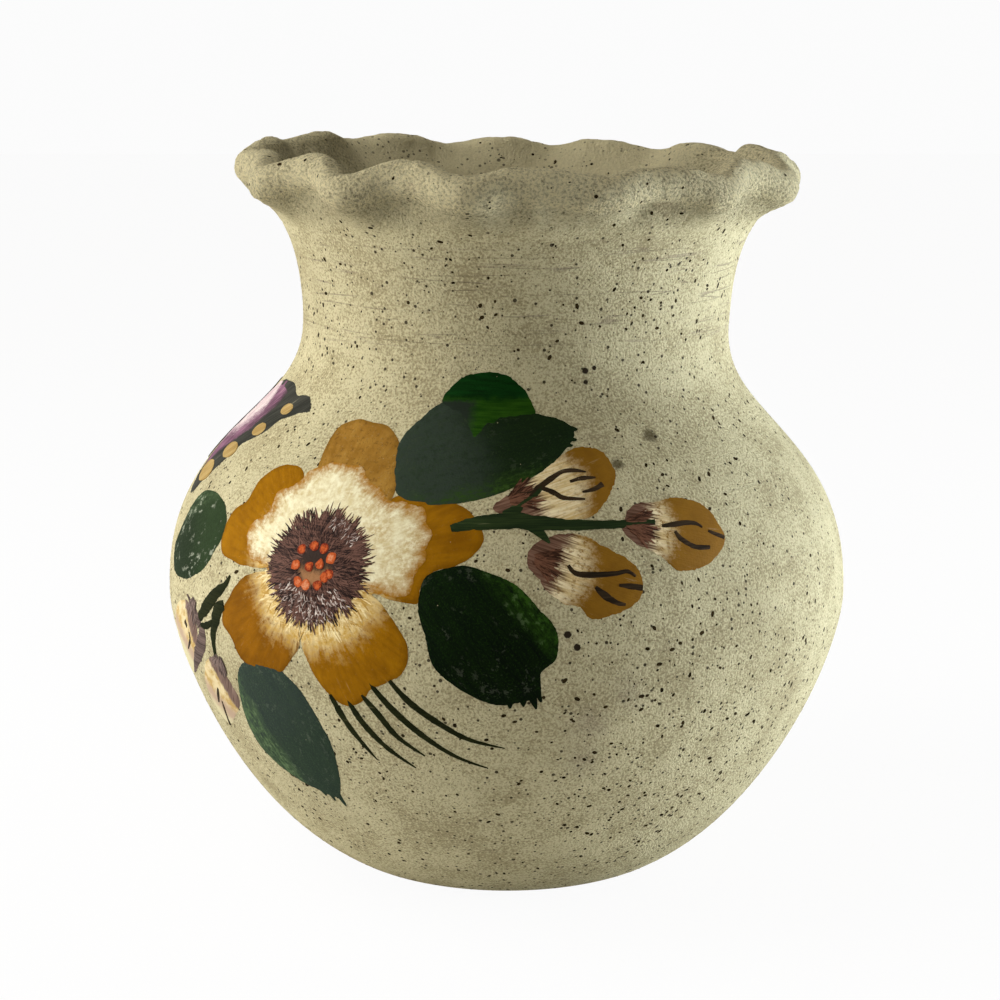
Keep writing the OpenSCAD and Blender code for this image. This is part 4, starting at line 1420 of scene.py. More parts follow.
def rounded(points, closed):
    """A smooth line through given points, stepped finely."""
    count = len(points)
    picked = [Vector(p) for p in points]
    line = []
    for i in range(count if closed else count - 1):
        if closed:
            a, b, c, d = (picked[(i + k) % count] for k in (-1, 0, 1, 2))
        else:
            a, b, c, d = (picked[min(max(i + k, 0), count - 1)] for k in (-1, 0, 1, 2))
        steps = max(2, round((c - b).length / OUTLINE_STEP))
        for k in range(steps):
            t = k / steps
            line.append(0.5 * (
                2 * b
                + (c - a) * t
                + (2 * a - 5 * b + 4 * c - d) * t * t
                + (3 * b - a - 3 * c + d) * t ** 3
            ))
    if not closed:
        line.append(picked[-1])
    return line


def brushed(points, brush, seed):
    """A closed outline with the slow wander and the fine fray of a brush's edge."""
    wander, fray = brush
    line = rounded(points, True)
    edge = []
    for i, p in enumerate(line):
        way = line[(i + 1) % len(line)] - line[i - 1]
        out = Vector((way.y, -way.x)).normalized()
        slow = noise.noise(Vector((p.x / WANDER_SIZE, p.y / WANDER_SIZE, seed)))
        fine = noise.noise(Vector((p.x / FRAY_SIZE, p.y / FRAY_SIZE, seed + FRAY_SEED)))
        edge.append(p + out * (wander * slow + fray * fine))
    return edge


def inside_outline(p, outline):
    inside = False
    for a, b in zip(outline, outline[1:] + outline[:1]):
        if (a.y > p.y) != (b.y > p.y) and p.x < a.x + (b.x - a.x) * (p.y - a.y) / (b.y - a.y):
            inside = not inside
    return inside


def inner_points(outline, step):
    """Points on an even grid inside an outline and clear of its edge."""
    low = Vector((min(p.x for p in outline), min(p.y for p in outline)))
    high = Vector((max(p.x for p in outline), max(p.y for p in outline)))
    found = []
    y = low.y
    row = 0
    while y < high.y:
        x = low.x + step / 2 * (row % 2)
        while x < high.x:
            p = Vector((x, y))
            clear = min((q - p).length for q in outline) > CLEAR_SHARE * step
            if clear and inside_outline(p, outline):
                found.append(p)
            x += step
        y += step * ROW_SHARE
        row += 1
    return found


def film_shell(outline, top, step=FILM_STEP, edge_share=PAINT_EDGE):
    """A thin closed film in an outline: vertices, faces and each vertex's distance from the edge."""
    points = outline + inner_points(outline, step)
    ring = list(range(len(outline)))
    cut = geometry.delaunay_2d_cdt(points, [], [ring], 1, CORNER_GAP)
    flat, faces, sources = cut[0], cut[2], cut[3]
    count = len(flat)
    on_edge = [any(k < len(outline) for k in source) for source in sources]
    upper = [(p.x, p.y, top * (edge_share if edge else 1)) for p, edge in zip(flat, on_edge)]
    lower = [(p.x, p.y, -PAINT_SINK) for p in flat]
    sides = dict.fromkeys((a, b) for face in faces for a, b in zip(face, face[1:] + face[:1]))
    walls = [(b, a, a + count, b + count) for a, b in sides if (b, a) not in sides]
    under = [tuple(k + count for k in reversed(face)) for face in faces]
    insets = [
        0.0 if edge else min((q - p).length for q in outline)
        for p, edge in zip(flat, on_edge)
    ]
    return upper + lower, [tuple(face) for face in faces] + under + walls, insets + insets


def stroke_shell(points, widths, top, seed):
    """A closed brush stroke along a line, full in the middle and thin at its edges."""
    line = rounded(points, False)
    last = len(line) - 1
    vertices = []
    for i, p in enumerate(line):
        place = i / last * (len(widths) - 1)
        k = min(int(place), len(widths) - 2)
        width = widths[k] + (widths[k + 1] - widths[k]) * (place - k)
        grain = Vector((p.x / STROKE_ROUGH_SIZE, p.y / STROKE_ROUGH_SIZE, seed))
        rough = 1 + STROKE_ROUGH * noise.noise(grain)
        side = line_normal(line, i) * width / 2 * rough
        vertices += [
            (*(p + side), top * PAINT_EDGE),
            (*p, top),
            (*(p - side), top * PAINT_EDGE),
            (*(p - side), -PAINT_SINK),
            (*(p + side), -PAINT_SINK),
        ]
    faces = [(4, 3, 2, 1, 0), tuple(5 * last + k for k in range(5))]
    for i in range(last):
        for k in range(5):
            a = 5 * i + k
            b = 5 * i + (k + 1) % 5
            faces.append((a, b, b + 5, a + 5))
    return vertices, faces, [0.0] * len(vertices)


def painted(shells, finish, place, axis=0.0, origin=(0, 0), tones=()):
    """Flat shells as one mesh on the pot, with the drawing and any tones kept for the finish."""
    vertices = []
    faces = []
    insets = []
    for shell_vertices, shell_faces, shell_insets in shells:
        start = len(vertices)
        vertices += shell_vertices
        faces += [tuple(k + start for k in face) for face in shell_faces]
        insets += shell_insets
    mesh = bpy.data.meshes.new("paint")
    mesh.from_pydata(vertices, [], faces)
    mesh.materials.append(finish)
    if tones:
        kept = mesh.attributes.new("tone", "FLOAT", "POINT")
        by_vertex = [tone for shell, tone in zip(shells, tones) for vertex in shell[0]]
        kept.data.foreach_set("value", by_vertex)
    wrap(mesh, place, insets, axis, origin)
    return mesh


def wrap(mesh, place, insets, axis=0.0, origin=(0, 0)):
    """Lays a flat mesh on the pot and keeps where each point was: along, across and in from the edge."""
    lengthwise = along(axis)
    crosswise = Vector((-lengthwise.y, lengthwise.x))
    flat = mesh.attributes.new("flat", "FLOAT_VECTOR", "POINT")
    for vertex, kept, inset in zip(mesh.vertices, flat.data, insets):
        x, y, height = vertex.co
        p = Vector((x, y)) - Vector(origin)
        kept.vector = (p.dot(lengthwise), p.dot(crosswise), inset)
        vertex.co = on_pot(place, x, y, height)


def joined(meshes):
    """Several meshes as one, with their attributes and one finish each kept."""
    objects = []
    for mesh in meshes:
        item = bpy.data.objects.new("part", mesh)
        bpy.context.scene.collection.objects.link(item)
        objects.append(item)
    with bpy.context.temp_override(active_object=objects[0], selected_editable_objects=objects):
        bpy.ops.object.join()
    mesh = objects[0].data
    bpy.data.objects.remove(objects[0])
    return mesh


def fan(place, values, lift, axis=0.0, shift=(0, 0)):
    """A fan of brush hairs wrapped onto the pot, with its middle so far above the slip."""
    mesh = grow(HAIRS, bpy.data.meshes.new("empty"), values)
    for vertex in mesh.vertices:
        vertex.co += Vector((*shift, lift))
    wrap(mesh, place, [0.0] * len(mesh.vertices), axis)
    return mesh


# The flower

FLOWER = (-31.3, 84.6)
PETALS = {
    "petal_right": [
        (8, 8), (13, 17), (20, 17), (27, 16), (31, 13.5), (34.5, 8.5), (33.5, 5), (30, 2.5), (26, 1),
        (24, -2), (24, -5.5), (17, -4.5), (8, -2),
    ],
    "petal_top": [
        (-5, 8), (-7.5, 16), (-9.5, 24), (-10, 30), (-8, 33.5), (-3, 34.5), (3.5, 33.5), (8, 29.5),
        (10, 25), (12.5, 17), (8, 8),
    ],
    "petal_left": [
        (-6, 8), (-10.5, 17.5), (-14, 21), (-19.5, 20.5), (-24, 17), (-25.5, 13), (-26, 10.5),
        (-29.5, 7.5), (-31, 3), (-30.5, -0.5), (-28, -2.5), (-20, -3), (-9, -1),
    ],
    "petal_lower_left": [
        (-9, -3), (-17, -4), (-21, -6.5), (-25.5, -12.5), (-26.5, -16.5), (-23.5, -19), (-20, -23.5),
        (-14, -26.5), (-7.5, -24), (-3.5, -19), (-2, -15), (-3, -7),
    ],
    "petal_bottom": [
        (-2, -8), (-2, -15), (0.5, -21), (4.5, -27), (8, -29), (12, -27.5), (14.5, -24.5), (18, -22.5),
        (21.5, -20.5), (23, -16.5), (22, -12.5), (17.5, -7), (10, -3),
    ],
}
CREAM_OUTLINE = [
    (-15, -2), (-21, 1), (-21.5, 5), (-17.5, 10), (-16, 14.5), (-11.5, 18), (-9.5, 21), (-4, 23.5),
    (2, 22.5), (7, 19.5), (12, 16), (15.5, 16), (21, 13.5), (23.5, 9), (24, 4), (22.5, -0.5), (21.5, -4),
    (16, -4), (9, -4), (0, -6), (-9, -4),
]
EYE_OUTLINE = [
    (-12, -2), (-10.5, 4), (-4.5, 8.5), (2, 10), (8, 8), (10, 3), (10.5, -2), (8, -7), (2, -10), (-6, -9),
]
DOTS = [
    (-4.4, 3.2), (-1.4, 4.3), (1.1, 3.9), (3.4, 2.1), (-5, -0.4), (3.7, -1.2), (-3.7, -3.8), (-1.5, -4),
    (1.4, -3.8), (2.7, -2), (-1.6, -0.3), (1, 0.6),
]

# Ranges for the width, the unevenness and the tone of each dot, and the turn between its corners
DOT_WIDTHS = (2.0, 2.7)
DOT_STRAY = (0.85, 1.15)
DOT_TONE_RANGE = (0, 1.2)
DOT_TURN = 45

# Sets of brush hairs on the flower: how many and how they lie, and the arc that each set fills in degrees
FULL_ARC = (0, 360)
HAIR_SPREAD = 0.55
CREAM_LOW_ARC = (185, 165)
LOW_GLINT_ARC = (210, 115)
TOP_GLINT_ARC = (35, 50)


def hair_set(count, inner_radius, root_spread, length, width, stray):
    """How a set of hairs lies, by the names of the inputs of their tree."""
    return {
        "Count": count,
        "Inner Radius": inner_radius,
        "Root Spread": root_spread,
        "Length": length,
        "Width": width,
        "Stray": stray,
    }


CREAM_LOW_HAIRS = hair_set(200, 9.0, root_spread=4.5, length=4.0, width=0.4, stray=0.5)
# Painted highlights: glints of light on the eye, drawn as short pale hairs
LOW_GLINTS = hair_set(190, 6.0, root_spread=5.5, length=1.5, width=0.2, stray=0.8)
TOP_GLINTS = hair_set(55, 7.5, root_spread=3.0, length=1.3, width=0.18, stray=0.8)
EYE_EDGE_HAIRS = hair_set(1000, 6.5, root_spread=3.4, length=4.8, width=0.34, stray=0.4)
EYE_MIDDLE_HAIRS = hair_set(700, 3.6, root_spread=5.0, length=4.0, width=0.28, stray=0.6)


def flower_hairs(finish, seed, lift, lies, arc=FULL_ARC):
    """One set of brush hairs round the flower's middle."""
    start, width = arc
    return fan(FLOWER, {
        **lies,
        "Length Spread": HAIR_SPREAD,
        "Thickness": HAIR_T,
        "Start Angle": math.radians(start),
        "Arc": math.radians(width),
        "Seed": seed,
        "Finish": finish,
    }, lift)


def petal_pieces():
    paints = {"petal_top": WORN_PETAL_PAINT, "petal_lower_left": DEEP_PETAL_PAINT}
    lift = 0.0
    for seed, (node, points) in enumerate(PETALS.items()):
        shell = film_shell(brushed(points, PETAL_BRUSH, seed), FIRST_COAT + lift)
        mesh = painted([shell], paints.get(node, PETAL_PAINT), FLOWER)
        finished_piece("painted_" + node, mesh, [node])
        lift += PETAL_LAP


def cream_piece():
    outline = brushed(CREAM_OUTLINE, CREAM_BRUSH, CREAM_SEED)
    dabbed = film_shell(outline, SECOND_COAT + CREAM_RISE, CREAM_STEP, CREAM_EDGE)
    hair_lift = SECOND_COAT - CREAM_HAIR_SINK
    glint_lift = THIRD_COAT + GLINT_RISE
    cream = [
        painted([dabbed], CREAM_PAINT, FLOWER),
        flower_hairs(CREAM_HAIR_PAINT, CREAM_HAIR_SEED, hair_lift, CREAM_LOW_HAIRS, CREAM_LOW_ARC),
        # Painted highlights: pale glints on the eye's lower part and near its top
        flower_hairs(GLINT_PAINT, LOW_GLINT_SEED, glint_lift, LOW_GLINTS, LOW_GLINT_ARC),
        flower_hairs(GLINT_PAINT, TOP_GLINT_SEED, glint_lift, TOP_GLINTS, TOP_GLINT_ARC),
    ]
    finished_piece("cream_dabs_and_painted_glints", joined(cream), ["petal_highlights"])


def eye_piece():
    outline = brushed(EYE_OUTLINE, EYE_BRUSH, EYE_SEED)
    film = film_shell(outline, THIRD_COAT, FILM_STEP, EYE_EDGE)
    eye = [
        painted([film], EYE_PAINT, FLOWER),
        flower_hairs(EYE_HAIR_PAINT, EYE_EDGE_SEED, THIRD_COAT, EYE_EDGE_HAIRS),
        flower_hairs(EYE_HAIR_PAINT, EYE_MIDDLE_SEED, THIRD_COAT + EYE_HAIR_RISE, EYE_MIDDLE_HAIRS),
    ]
    finished_piece("painted_flower_eye", joined(eye), ["flower_eye"])


def stamen_piece():
    dabs = []
    tones = []
    draws = random.Random(DOT_SEED)
    for x, y in DOTS:
        width = draws.uniform(*DOT_WIDTHS)
        dab = [
            Vector((x, y)) + width / 2 * draws.uniform(*DOT_STRAY) * along(angle)
            for angle in range(0, 360, DOT_TURN)
        ]
        dabs.append(film_shell(brushed(dab, DOT_BRUSH, x), THIRD_COAT + DOT_RISE, DAB_STEP, DOT_EDGE))
        tones.append(draws.uniform(*DOT_TONE_RANGE))
    mesh = painted(dabs, DOT_PAINT, FLOWER, tones=tones)
    finished_piece("painted_stamen_dots", mesh, ["stamen_dots"])


# Leaves, stems and grass

LEAVES = {
    "leaf_upper": ((-5.9, 106.8), 18, [
        (-18.5, -2.5), (-17.5, 4), (-13, 9.5), (-9, 12.5), (-3, 13), (3, 11.5), (8, 10.5), (13, 9.5),
        (16.5, 8), (19, 5.5), (18, 2), (13, -4), (4, -9.5), (-5, -12), (-12.5, -12.5), (-17, -9.5),
    ]),
    "leaf_lower_right": ((-2.9, 73.6), -52, [
        (-14.5, 6), (-13, 11.5), (-7.5, 14), (-2, 13.5), (4.5, 11), (10, 6), (14, 0.5), (14, -4.5),
        (11, -7.5), (10.5, -12), (7, -14), (1, -14.5), (-5.5, -11.5), (-11, -7), (-13, -0.5),
    ]),
    "leaf_lower_left": ((-38, 47.2), -67, [
        (-14, 9), (-11, 13.5), (-6.5, 15.5), (-1, 16), (4.5, 13), (8.5, 6.5), (10.5, -1.5), (10, -9),
        (8.5, -14.5), (6, -18), (0.5, -17), (-7.5, -14), (-13.5, -9), (-15.5, -2),
    ]),
    "leaf_left": ((-63.3, 83.9), 207, [
        (-17, -7), (-15.5, -3), (-13.5, 1), (-12, 5), (-8, 9), (-2, 10), (5, 9), (10, 6), (11.5, 2),
        (10, -2.5), (7, -6.5), (0, -10), (-7.5, -11.5), (-14, -11),
    ]),
}
LOBE = [
    (-10, 12.5), (-8.5, 15.5), (-5.5, 18), (-1, 19), (3.5, 18), (7, 15.5), (9, 12.5), (10, 10),
    (7.5, 9.5), (4, 8.5), (1.5, 7), (0.5, 5), (-2, 3.5), (-3.5, 6), (-5, 8.5), (-8, 10),
]
BRISTLE_TIPS = {
    "leaf_upper": [((16, 6.5), (19.6, 6)), ((15, 4.5), (19.7, 3.5)), ((14, 3), (19, 2.2))],
    "leaf_lower_right": [
        ((9.5, -10), (10.8, -14)),
        ((8.5, -11), (9.8, -15.6)),
        ((7, -12), (7.2, -15)),
        ((4.5, -12), (4.4, -15.4)),
    ],
    "leaf_lower_left": [((6, -14), (7.5, -20.5)), ((4, -14), (5, -19.5)), ((2, -15), (3, -18.5))],
    "leaf_left": [],
}
TIP_WIDTHS = (2.4, 1.6, 0.4)
GRASS = (-16.6, 53)
GRASS_WIDTHS = (0.9, 1.6, 1.4, 1.0, 0.25)
GRASS_STROKES = [
    [(-15.5, 5.5), (-13.5, 1), (-11, -3.5), (-6.5, -10)],
    [(-11.5, 5), (-8.5, -0.5), (-4, -6), (2, -11)],
    [(-8, 6.5), (-4.5, 2), (-1, -3), (4.5, -7.5)],
    [(-6, 9.5), (-1.5, 4), (4.5, -2), (11, -7), (17.5, -10)],
    [(-1.5, 10.5), (3, 5.5), (9.5, 0.5), (14.5, -2.5), (21.5, -4.5)],
]
STEM_RIGHT = (5.5, 95)
STEM_WIDTHS = (1.9, 2.9, 3.2, 3.6, 3.6, 3.2, 2.8, 2.4, 2.1, 1.9, 1.8, 1.7, 1.6)
STEM_RIGHT_STROKES = [
    ([(-18.5, -1.5), (-12, 0), (-4, 0.5), (4, -0.5), (12.5, -1), (24.5, -1.5)], STEM_WIDTHS),
    ([(-7, 1.5), (-3.5, 4.5), (-1.5, 6), (0.5, 8.3)], (2.8, 2.6, 2.3, 1.6)),
    ([(-3.5, 0), (-1, -1.5), (1.5, -4.5)], (2.4, 2.2, 0.5)),
]
SEPAL_STROKES = [
    ([(-4.5, 7), (-2, 7), (0.5, 8)], (0.6, 1.2, 1.2)),
    (
        [(-2, 6), (0.5, 8.5), (3, 10.5), (5, 11.8), (7.5, 12), (10, 11.5)],
        (1.2, 2.2, 1.8, 1.4, 1.4, 0.6),
    ),
    ([(-0.5, 8.2), (1.5, 7.6), (3.5, 6.5), (5, 5.5), (9.5, 5)], (1.2, 1.6, 1.6, 1.2, 0.7)),
    ([(6.5, 9.3), (9, 10), (12, 10)], (0.8, 1.5, 0.6)),
    ([(9, 6.7), (11.5, 7.2), (13.5, 8.3)], (0.6, 1.3, 1.7)),
    (
        [(5, -9.3), (6.5, -11), (10.5, -11.5), (15, -11.5), (17.5, -11.3), (19.2, -12.5)],
        (0.9, 1.4, 1.5, 1.3, 1.2, 0.6),
    ),
    ([(10.5, -14), (12.5, -16), (15, -17.5), (16.8, -18)], (0.9, 1.9, 1.5, 0.6)),
    ([(15.5, -14), (18, -14.4), (20.7, -15)], (0.7, 1.5, 1.2)),
    ([(26, -2.5), (29, -2.5), (32, -2.5), (34.5, -3), (36, -4)], (0.8, 1.5, 1.5, 1.2, 0.6)),
    ([(29, -4), (30, -5.5), (32, -7), (34, -8), (37.5, -8.5)], (0.8, 1.5, 1.2, 1.3, 1.0)),
    ([(37.5, -5), (39.5, -6), (41.7, -7)], (0.6, 1.1, 1.0)),
]
STEM_LEFT = (-53, 67.5)
STEM_LEFT_STROKES = [
    ([(5, 11.5), (3.5, 9), (0.3, 6.5), (-3.3, 3), (-7, -0.5)], (0.6, 2.2, 3.2, 3.2, 2.0)),
    (
        [(4, 4.8), (1.8, 3.4), (0.6, 0.5), (-0.3, -2.3), (-0.6, -4.7), (-0.8, -8)],
        (2.4, 3.5, 3.2, 2.4, 1.6, 1.1),
    ),
    ([(-0.5, 0), (-3.5, -1.5), (-6.5, -2.3)], (1.2, 1.7, 1.2)),
]
DUSKY_STROKES = [
    ([(-14.5, 3), (-11.5, 1.5), (-8.5, -0.5), (-7, -2.5)], (0.3, 1.4, 2.2, 2.8)),
    ([(-6, -2), (-5.8, -4), (-7.2, -6.5), (-11.5, -10.5), (-20, -17.5)], (2.6, 3.8, 3.4, 2.0, 0.5)),
]
LEFT_SEPAL_STROKES = [
    ([(-16.2, -3.6), (-15, -4.6)], (2.2, 1.6)),
    ([(-14, -5.6), (-14.6, -7.8), (-18.2, -10.8)], (0.7, 1.3, 0.6)),
    ([(-4.6, -17), (-6.2, -19.5), (-7.5, -21.5)], (0.9, 1.7, 0.8)),
    ([(-5, -20.5), (-5.7, -23.5), (-6.5, -27.5)], (0.8, 1.5, 0.6)),
]


def leaf_pieces():
    for seed, (node, (place, axis, points)) in enumerate(LEAVES.items()):
        shells = [film_shell(brushed(points, LEAF_BRUSH, seed + LEAF_SEED), FIRST_COAT + LEAF_RISE)]
        for tip in BRISTLE_TIPS[node]:
            shells.append(stroke_shell(tip, TIP_WIDTHS, FIRST_COAT + TIP_RISE, seed))
        mesh = painted(shells, LEAF_PAINTS[node], place, axis)
        finished_piece("painted_" + node, mesh, [node])
    place = LEAVES["leaf_upper"][0]
    lobe = film_shell(brushed(LOBE, LOBE_BRUSH, LOBE_SEED), SECOND_COAT + LEAF_RISE)
    mesh = painted([lobe], LOBE_PAINT, place)
    finished_piece("painted_leaf_upper_lobe", mesh, ["leaf_upper_lobe"])


def strokes_on(place, strokes, finish):
    """Brush strokes laid one over the other."""
    shells = []
    lift = THIRD_COAT + STROKE_RISE
    for k, (points, widths) in enumerate(strokes):
        shells.append(stroke_shell(points, widths, lift, k + STROKE_SEED))
        lift += STROKE_LAP
    return painted(shells, finish, place)


def stroke_pieces():
    grass = [
        stroke_shell(points, GRASS_WIDTHS, FIRST_COAT + GRASS_RISE, k)
        for k, points in enumerate(GRASS_STROKES)
    ]
    mesh = painted(grass, DARK_STEM_PAINT, GRASS)
    finished_piece("painted_grass", mesh, ["grass_strokes"])
    stem = [
        strokes_on(STEM_RIGHT, STEM_RIGHT_STROKES, STEM_PAINT),
        strokes_on(STEM_RIGHT, SEPAL_STROKES, SEPAL_PAINT),
    ]
    finished_piece("painted_stem_right", joined(stem), ["stem_right"])
    stem = [
        strokes_on(STEM_LEFT, STEM_LEFT_STROKES, DARK_STEM_PAINT),
        strokes_on(STEM_LEFT, DUSKY_STROKES, DUSKY_PAINT),
        strokes_on(STEM_LEFT, LEFT_SEPAL_STROKES, SEPAL_PAINT),
    ]
    finished_piece("painted_stem_left", joined(stem), ["stem_left"])


# Buds

BUDS = {
    "bud_upper": ((9, 101.4), 18, [
        (-13.5, -4.5), (-4.5, 2.5), (3, 8.5), (9, 8.5), (12, 4.5), (12.5, 1), (9, -5.5), (4, -8),
        (-9.5, -6.5),
    ]),
    "bud_end": ((28.3, 91.3), -18, [
        (-11.5, 3), (-7, 7.5), (-2, 7.5), (3.5, 8), (9.5, 5), (12, 0), (11.5, -4.5), (6, -7.5),
        (-0.5, -8), (-3.5, -5.5), (-6, -3.5), (-10, -0.5),
    ]),
    "bud_lower": ((11.8, 84.7), -23, [
        (-11.5, 3), (-9.5, 7.5), (-2, 9.5), (4.5, 6.5), (10.5, 2), (12.5, -3), (8.5, -7), (1, -8.5),
        (-1.5, -6), (-6, -4.5), (-10, 0.5),
    ]),
    "bud_left_upper": ((-63.9, 61.4), 238, [
        (0, 7.5), (3, 6.5), (6, 4), (6.5, 1), (4.5, -2), (0, -6.5), (-5, -10.5), (-10, -13.5),
        (-14, -13.5), (-16, -8), (-13, -1), (-7, 5),
    ]),
    "bud_left_lower": ((-55.3, 50.6), 246, [
        (-1.5, 8), (2.5, 8), (5.5, 4.5), (7.5, 0.5), (5.5, -3), (-3.5, -10), (-9, -7), (-9.5, -1.5),
        (-7, 3),
    ]),
}

# The dark hairs at the foot of each bud: how many, how long and in which paint
CALYX_REACH = 12
CALYX_ARC = 72
CALYX_LIES = {
    "Inner Radius": 1.0,
    "Root Spread": 3.0,
    "Length Spread": 0.6,
    "Width": 0.5,
    "Thickness": HAIR_T,
    "Arc": math.radians(CALYX_ARC),
    "Stray": 0.2,
}
CALYX_HAIRS = {
    "bud_upper": (100, 5.0, CALYX_PAINT),
    "bud_end": (100, 5.0, CALYX_PAINT),
    "bud_lower": (120, 4.0, CALYX_PAINT),
    "bud_left_upper": (40, 4.0, DUSKY_HAIR_PAINT),
    "bud_left_lower": (50, 4.0, DUSKY_HAIR_PAINT),
}


def bud_pieces():
    fans = []
    for seed, (node, (place, axis, points)) in enumerate(BUDS.items()):
        shell = film_shell(brushed(points, BUD_BRUSH, seed + BUD_SEED), FIRST_COAT + BUD_RISE)
        mesh = painted([shell], BUD_PAINTS[node], place, axis)
        finished_piece("painted_" + node, mesh, [node])
        count, length, finish = CALYX_HAIRS[node]
        fans.append(fan(place, {
            **CALYX_LIES,
            "Count": count,
            "Length": length,
            "Start Angle": math.radians(axis - CALYX_ARC / 2),
            "Seed": CALYX_SEED + seed,
            "Finish": finish,
        }, SECOND_COAT, axis, -CALYX_REACH * along(axis)))
    finished_piece("painted_bud_calyxes", joined(fans), ["bud_calyxes"])


# The butterfly

BUTTERFLY_AZ = -91
BUTTERFLY_Z = 103.9
WING_AZ = -69.4
WING = [
    (15.5, 10.5), (12.2, 9), (7.5, 6), (5.5, 2), (0, -2.5), (-2, -7.5), (-5.5, -12.5), (-11, -18.5),
    (-16, -18), (-20, -12), (-22, -5), (-22, 3), (-18, 10), (-10, 14), (-2, 15), (2, 14.5), (6, 13),
    (11.5, 13.5),
]
WING_PANEL = [
    (-3, 14.2), (0.5, 13), (1.5, 10), (0, 7), (-1, 4), (-2.5, 0.5), (-5, -2.5), (-8, -5.5), (-11, -9),
    (-13.5, -12), (-16, -14.5), (-21.5, -8), (-22.5, 0), (-19.5, 8.8), (-14, 12.6), (-8, 14.2),
]
WING_SPOTS = [
    ((6.5, 9), 2.4, 1.5),
    ((2, 2.2), 2.9, 1.8),
    ((-4, -5.2), 4.2, 2.2),
    ((-10.2, -12.5), 5.5, 2.8),
]
WING_AXES = {1: 45, -1: 135}
PANEL_MIDDLE = (-5, 5)
PANEL_SLANT = 55
SPOT_TILT = 4
SPOT_TURN = 40
BODY_HALF = [(0, 13), (1.6, 9), (1.2, 6), (1.9, 2), (1.4, -5), (0.8, -11), (0, -13)]


def spot_outline(middle, half_length, half_width):
    lengthwise = half_length * along(SPOT_TILT)
    crosswise = half_width * along(SPOT_TILT + 90)
    turns = [along(angle) for angle in range(0, 360, SPOT_TURN)]
    return [tuple(Vector(middle) + t.x * lengthwise + t.y * crosswise) for t in turns]


def on_side(points, side):
    """An outline as drawn on side 1, and mirrored on side -1."""
    return points if side > 0 else [(-x, y) for x, y in points][::-1]


def butterfly_pieces():
    panels = []
    spots = []
    for node, side in (("wing_right", 1), ("wing_left", -1)):
        place = (BUTTERFLY_AZ + side * (WING_AZ - BUTTERFLY_AZ), BUTTERFLY_Z)
        axis = WING_AXES[side]
        wing = film_shell(brushed(on_side(WING, side), WING_BRUSH, WING_SEED), FIRST_COAT)
        mesh = painted([wing], WING_PAINT, place, axis)
        finished_piece("painted_" + node, mesh, [node])
        panel = film_shell(brushed(on_side(WING_PANEL, side), PANEL_BRUSH, PANEL_SEED), SECOND_COAT)
        middle = (side * PANEL_MIDDLE[0], PANEL_MIDDLE[1])
        panels.append(painted([panel], PANEL_PAINT, place, side * PANEL_SLANT, middle))
        shells = []
        for k, spot in enumerate(WING_SPOTS):
            outline = brushed(on_side(spot_outline(*spot), side), SPOT_BRUSH, SPOT_SEED + k)
            shells.append(film_shell(outline, THIRD_COAT, DAB_STEP, SPOT_EDGE))
        spots.append(painted(shells, SPOT_PAINT, place, axis))
    finished_piece("painted_wing_panels", joined(panels), ["wing_panels"])
    finished_piece("painted_wing_spots", joined(spots), ["wing_spots"])
    outline = BODY_HALF + [(-x, y) for x, y in BODY_HALF[-2:0:-1]]
    trunk = film_shell(brushed(outline, SPOT_BRUSH, BODY_SEED), THIRD_COAT, DAB_STEP)
    mesh = painted([trunk], EYE_HAIR_PAINT, (BUTTERFLY_AZ, BUTTERFLY_Z))
    finished_piece("painted_butterfly_body", mesh, ["butterfly_body"])


clay_pieces()
slip_pieces()
petal_pieces()
cream_piece()
eye_piece()
stamen_piece()
leaf_pieces()
stroke_pieces()
bud_pieces()
butterfly_pieces()


# Floor, light and camera, in metres

FLOOR_HALF = 3.0
FLOOR_PALE = colour(0.88, 0.88, 0.87)
FLOOR_GLOW = 0.95
WHITE = colour(1, 1, 1)
BACKDROP_GLOW = 0.97
SKY_TINT = colour(1.0, 0.95, 0.86)
SKY_LOW = 0.18
SKY_CLIMB = 0.12
LAMP_AIM = Vector((0, 0, 0.085))
WARM = (1.0, 0.97, 0.94)
COOL = (0.85, 0.915, 1.0)
SENSOR_WIDTH = 36
LENS = 74.3
CAMERA_PLACE = (-0.0016, -0.48, 0.192)
CAMERA_DIP = 12.68


def seen_directly(tree):
    """1 for the rays that show the background itself or mirror it, 0 for those that light the pot."""
    rays = tree.nodes.new("ShaderNodeLightPath").outputs
    mirrored_or_through = calc(tree, "MAXIMUM", rays["Is Glossy Ray"], rays["Is Transmission Ray"])
    return calc(tree, "MAXIMUM", rays["Is Camera Ray"], mirrored_or_through)


def pale_floor():
    """A wide floor that looks white and keeps a faint shadow."""
    mesh = bpy.data.meshes.new("floor")
    corners = [(-1, -1), (1, -1), (1, 1), (-1, 1)]
    mesh.from_pydata([(FLOOR_HALF * x, FLOOR_HALF * y, 0) for x, y in corners], [], [(0, 1, 2, 3)])
    floor = bpy.data.objects.new("floor", mesh)
    bpy.context.scene.collection.objects.link(floor)
    finish, tree, shader = new_finish("white floor", 0.9, 0.0)
    shader["Base Color"].default_value = FLOOR_PALE
    matte = tree.nodes["Principled BSDF"].outputs[0]
    glow = add(tree, "ShaderNodeEmission", {"Color": WHITE, "Strength": 1.0})
    share = calc(tree, "MULTIPLY", seen_directly(tree), FLOOR_GLOW)
    both = add(tree, "ShaderNodeMixShader", {0: share, 1: matte, 2: glow})
    tree.links.new(both, tree.nodes["Material Output"].inputs["Surface"])
    mesh.materials.append(finish)


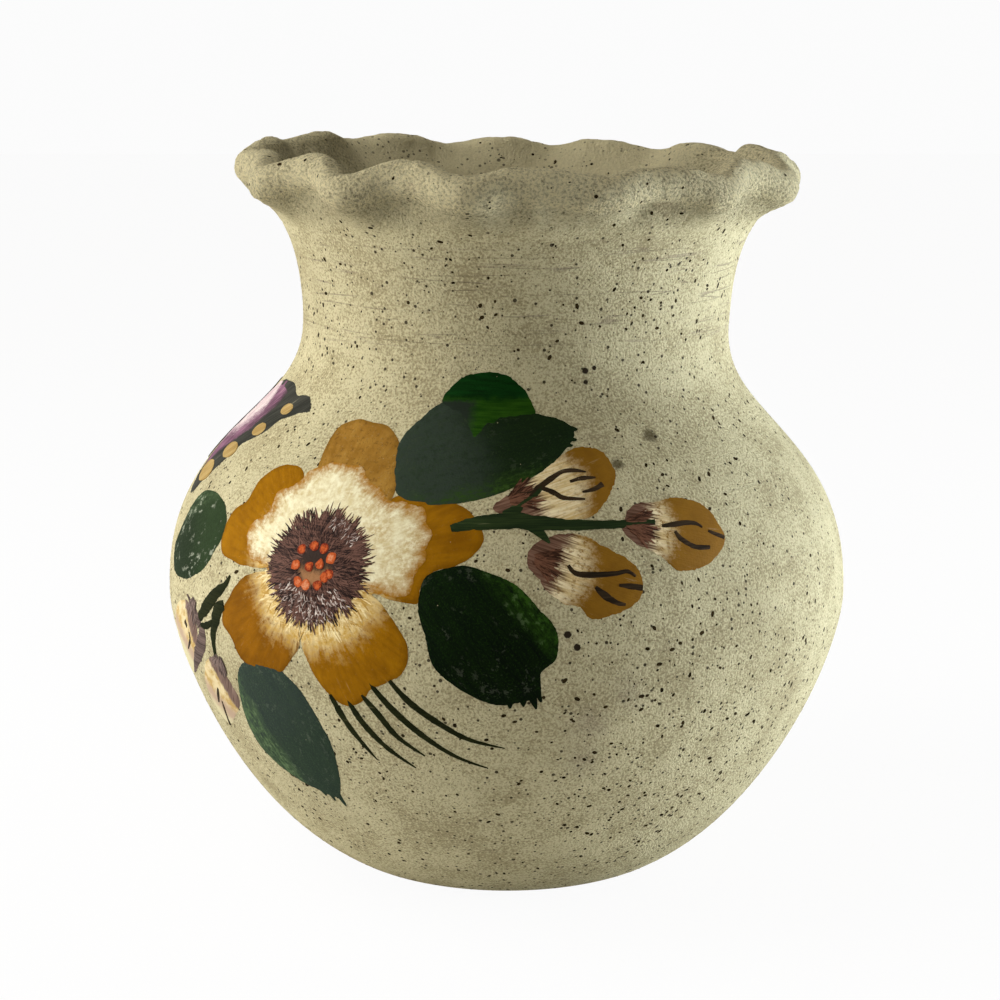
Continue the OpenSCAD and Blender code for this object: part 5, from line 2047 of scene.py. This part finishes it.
def white_world():
    """A white backdrop, and a faint warm light all round that is stronger from above."""
    world = bpy.data.worlds.new("studio")
    bpy.context.scene.world = world
    world.use_nodes = True
    tree = world.node_tree
    light = tree.nodes["Background"]
    light.inputs["Color"].default_value = SKY_TINT
    way = add(tree, "ShaderNodeTexCoord", out="Generated")
    climb = ramp(tree, add(tree, "ShaderNodeSeparateXYZ", {0: way}, out="Z"), 0.0, 1.0)
    tree.links.new(calc(tree, "MULTIPLY_ADD", climb, SKY_CLIMB, SKY_LOW), light.inputs["Strength"])
    white = add(tree, "ShaderNodeBackground", {"Color": WHITE, "Strength": BACKDROP_GLOW})
    both = add(tree, "ShaderNodeMixShader", {0: seen_directly(tree), 1: light.outputs[0], 2: white})
    tree.links.new(both, tree.nodes["World Output"].inputs["Surface"])


def soft_lamp(name, azimuth, height, distance, width, tall, power, tint):
    """A broad lamp at an azimuth from the front, turned to the pot."""
    lamp = bpy.data.lights.new(name, "AREA")
    lamp.shape = "RECTANGLE"
    lamp.size = width
    lamp.size_y = tall
    lamp.energy = power
    lamp.color = tint
    stand = bpy.data.objects.new(name, lamp)
    turn = math.radians(azimuth)
    stand.location = (distance * math.sin(turn), -distance * math.cos(turn), height)
    aim = LAMP_AIM - stand.location
    stand.rotation_euler = aim.to_track_quat("-Z", "Y").to_euler()
    bpy.context.scene.collection.objects.link(stand)


def photo_camera():
    """The photograph's view: a little above the lip, looking slightly down."""
    lens = bpy.data.cameras.new("camera")
    lens.sensor_width = SENSOR_WIDTH
    lens.sensor_fit = "HORIZONTAL"
    lens.lens = LENS
    camera = bpy.data.objects.new("camera", lens)
    camera.location = CAMERA_PLACE
    camera.rotation_euler = (math.radians(90 - CAMERA_DIP), 0, 0)
    bpy.context.scene.collection.objects.link(camera)
    bpy.context.scene.camera = camera


pale_floor()
white_world()
soft_lamp("left_lamp", -86, height=0.2, distance=0.75, width=0.45, tall=0.4, power=5.3, tint=WARM)
soft_lamp("upper_left_lamp", -75, height=0.75, distance=0.45, width=0.4, tall=0.4, power=3.0, tint=WARM)
soft_lamp("right_lamp", 96, height=0.06, distance=0.75, width=0.5, tall=0.12, power=9.4, tint=COOL)
photo_camera()
bpy.context.scene.view_settings.view_transform = "Standard"

bpy.context.view_layer.update()
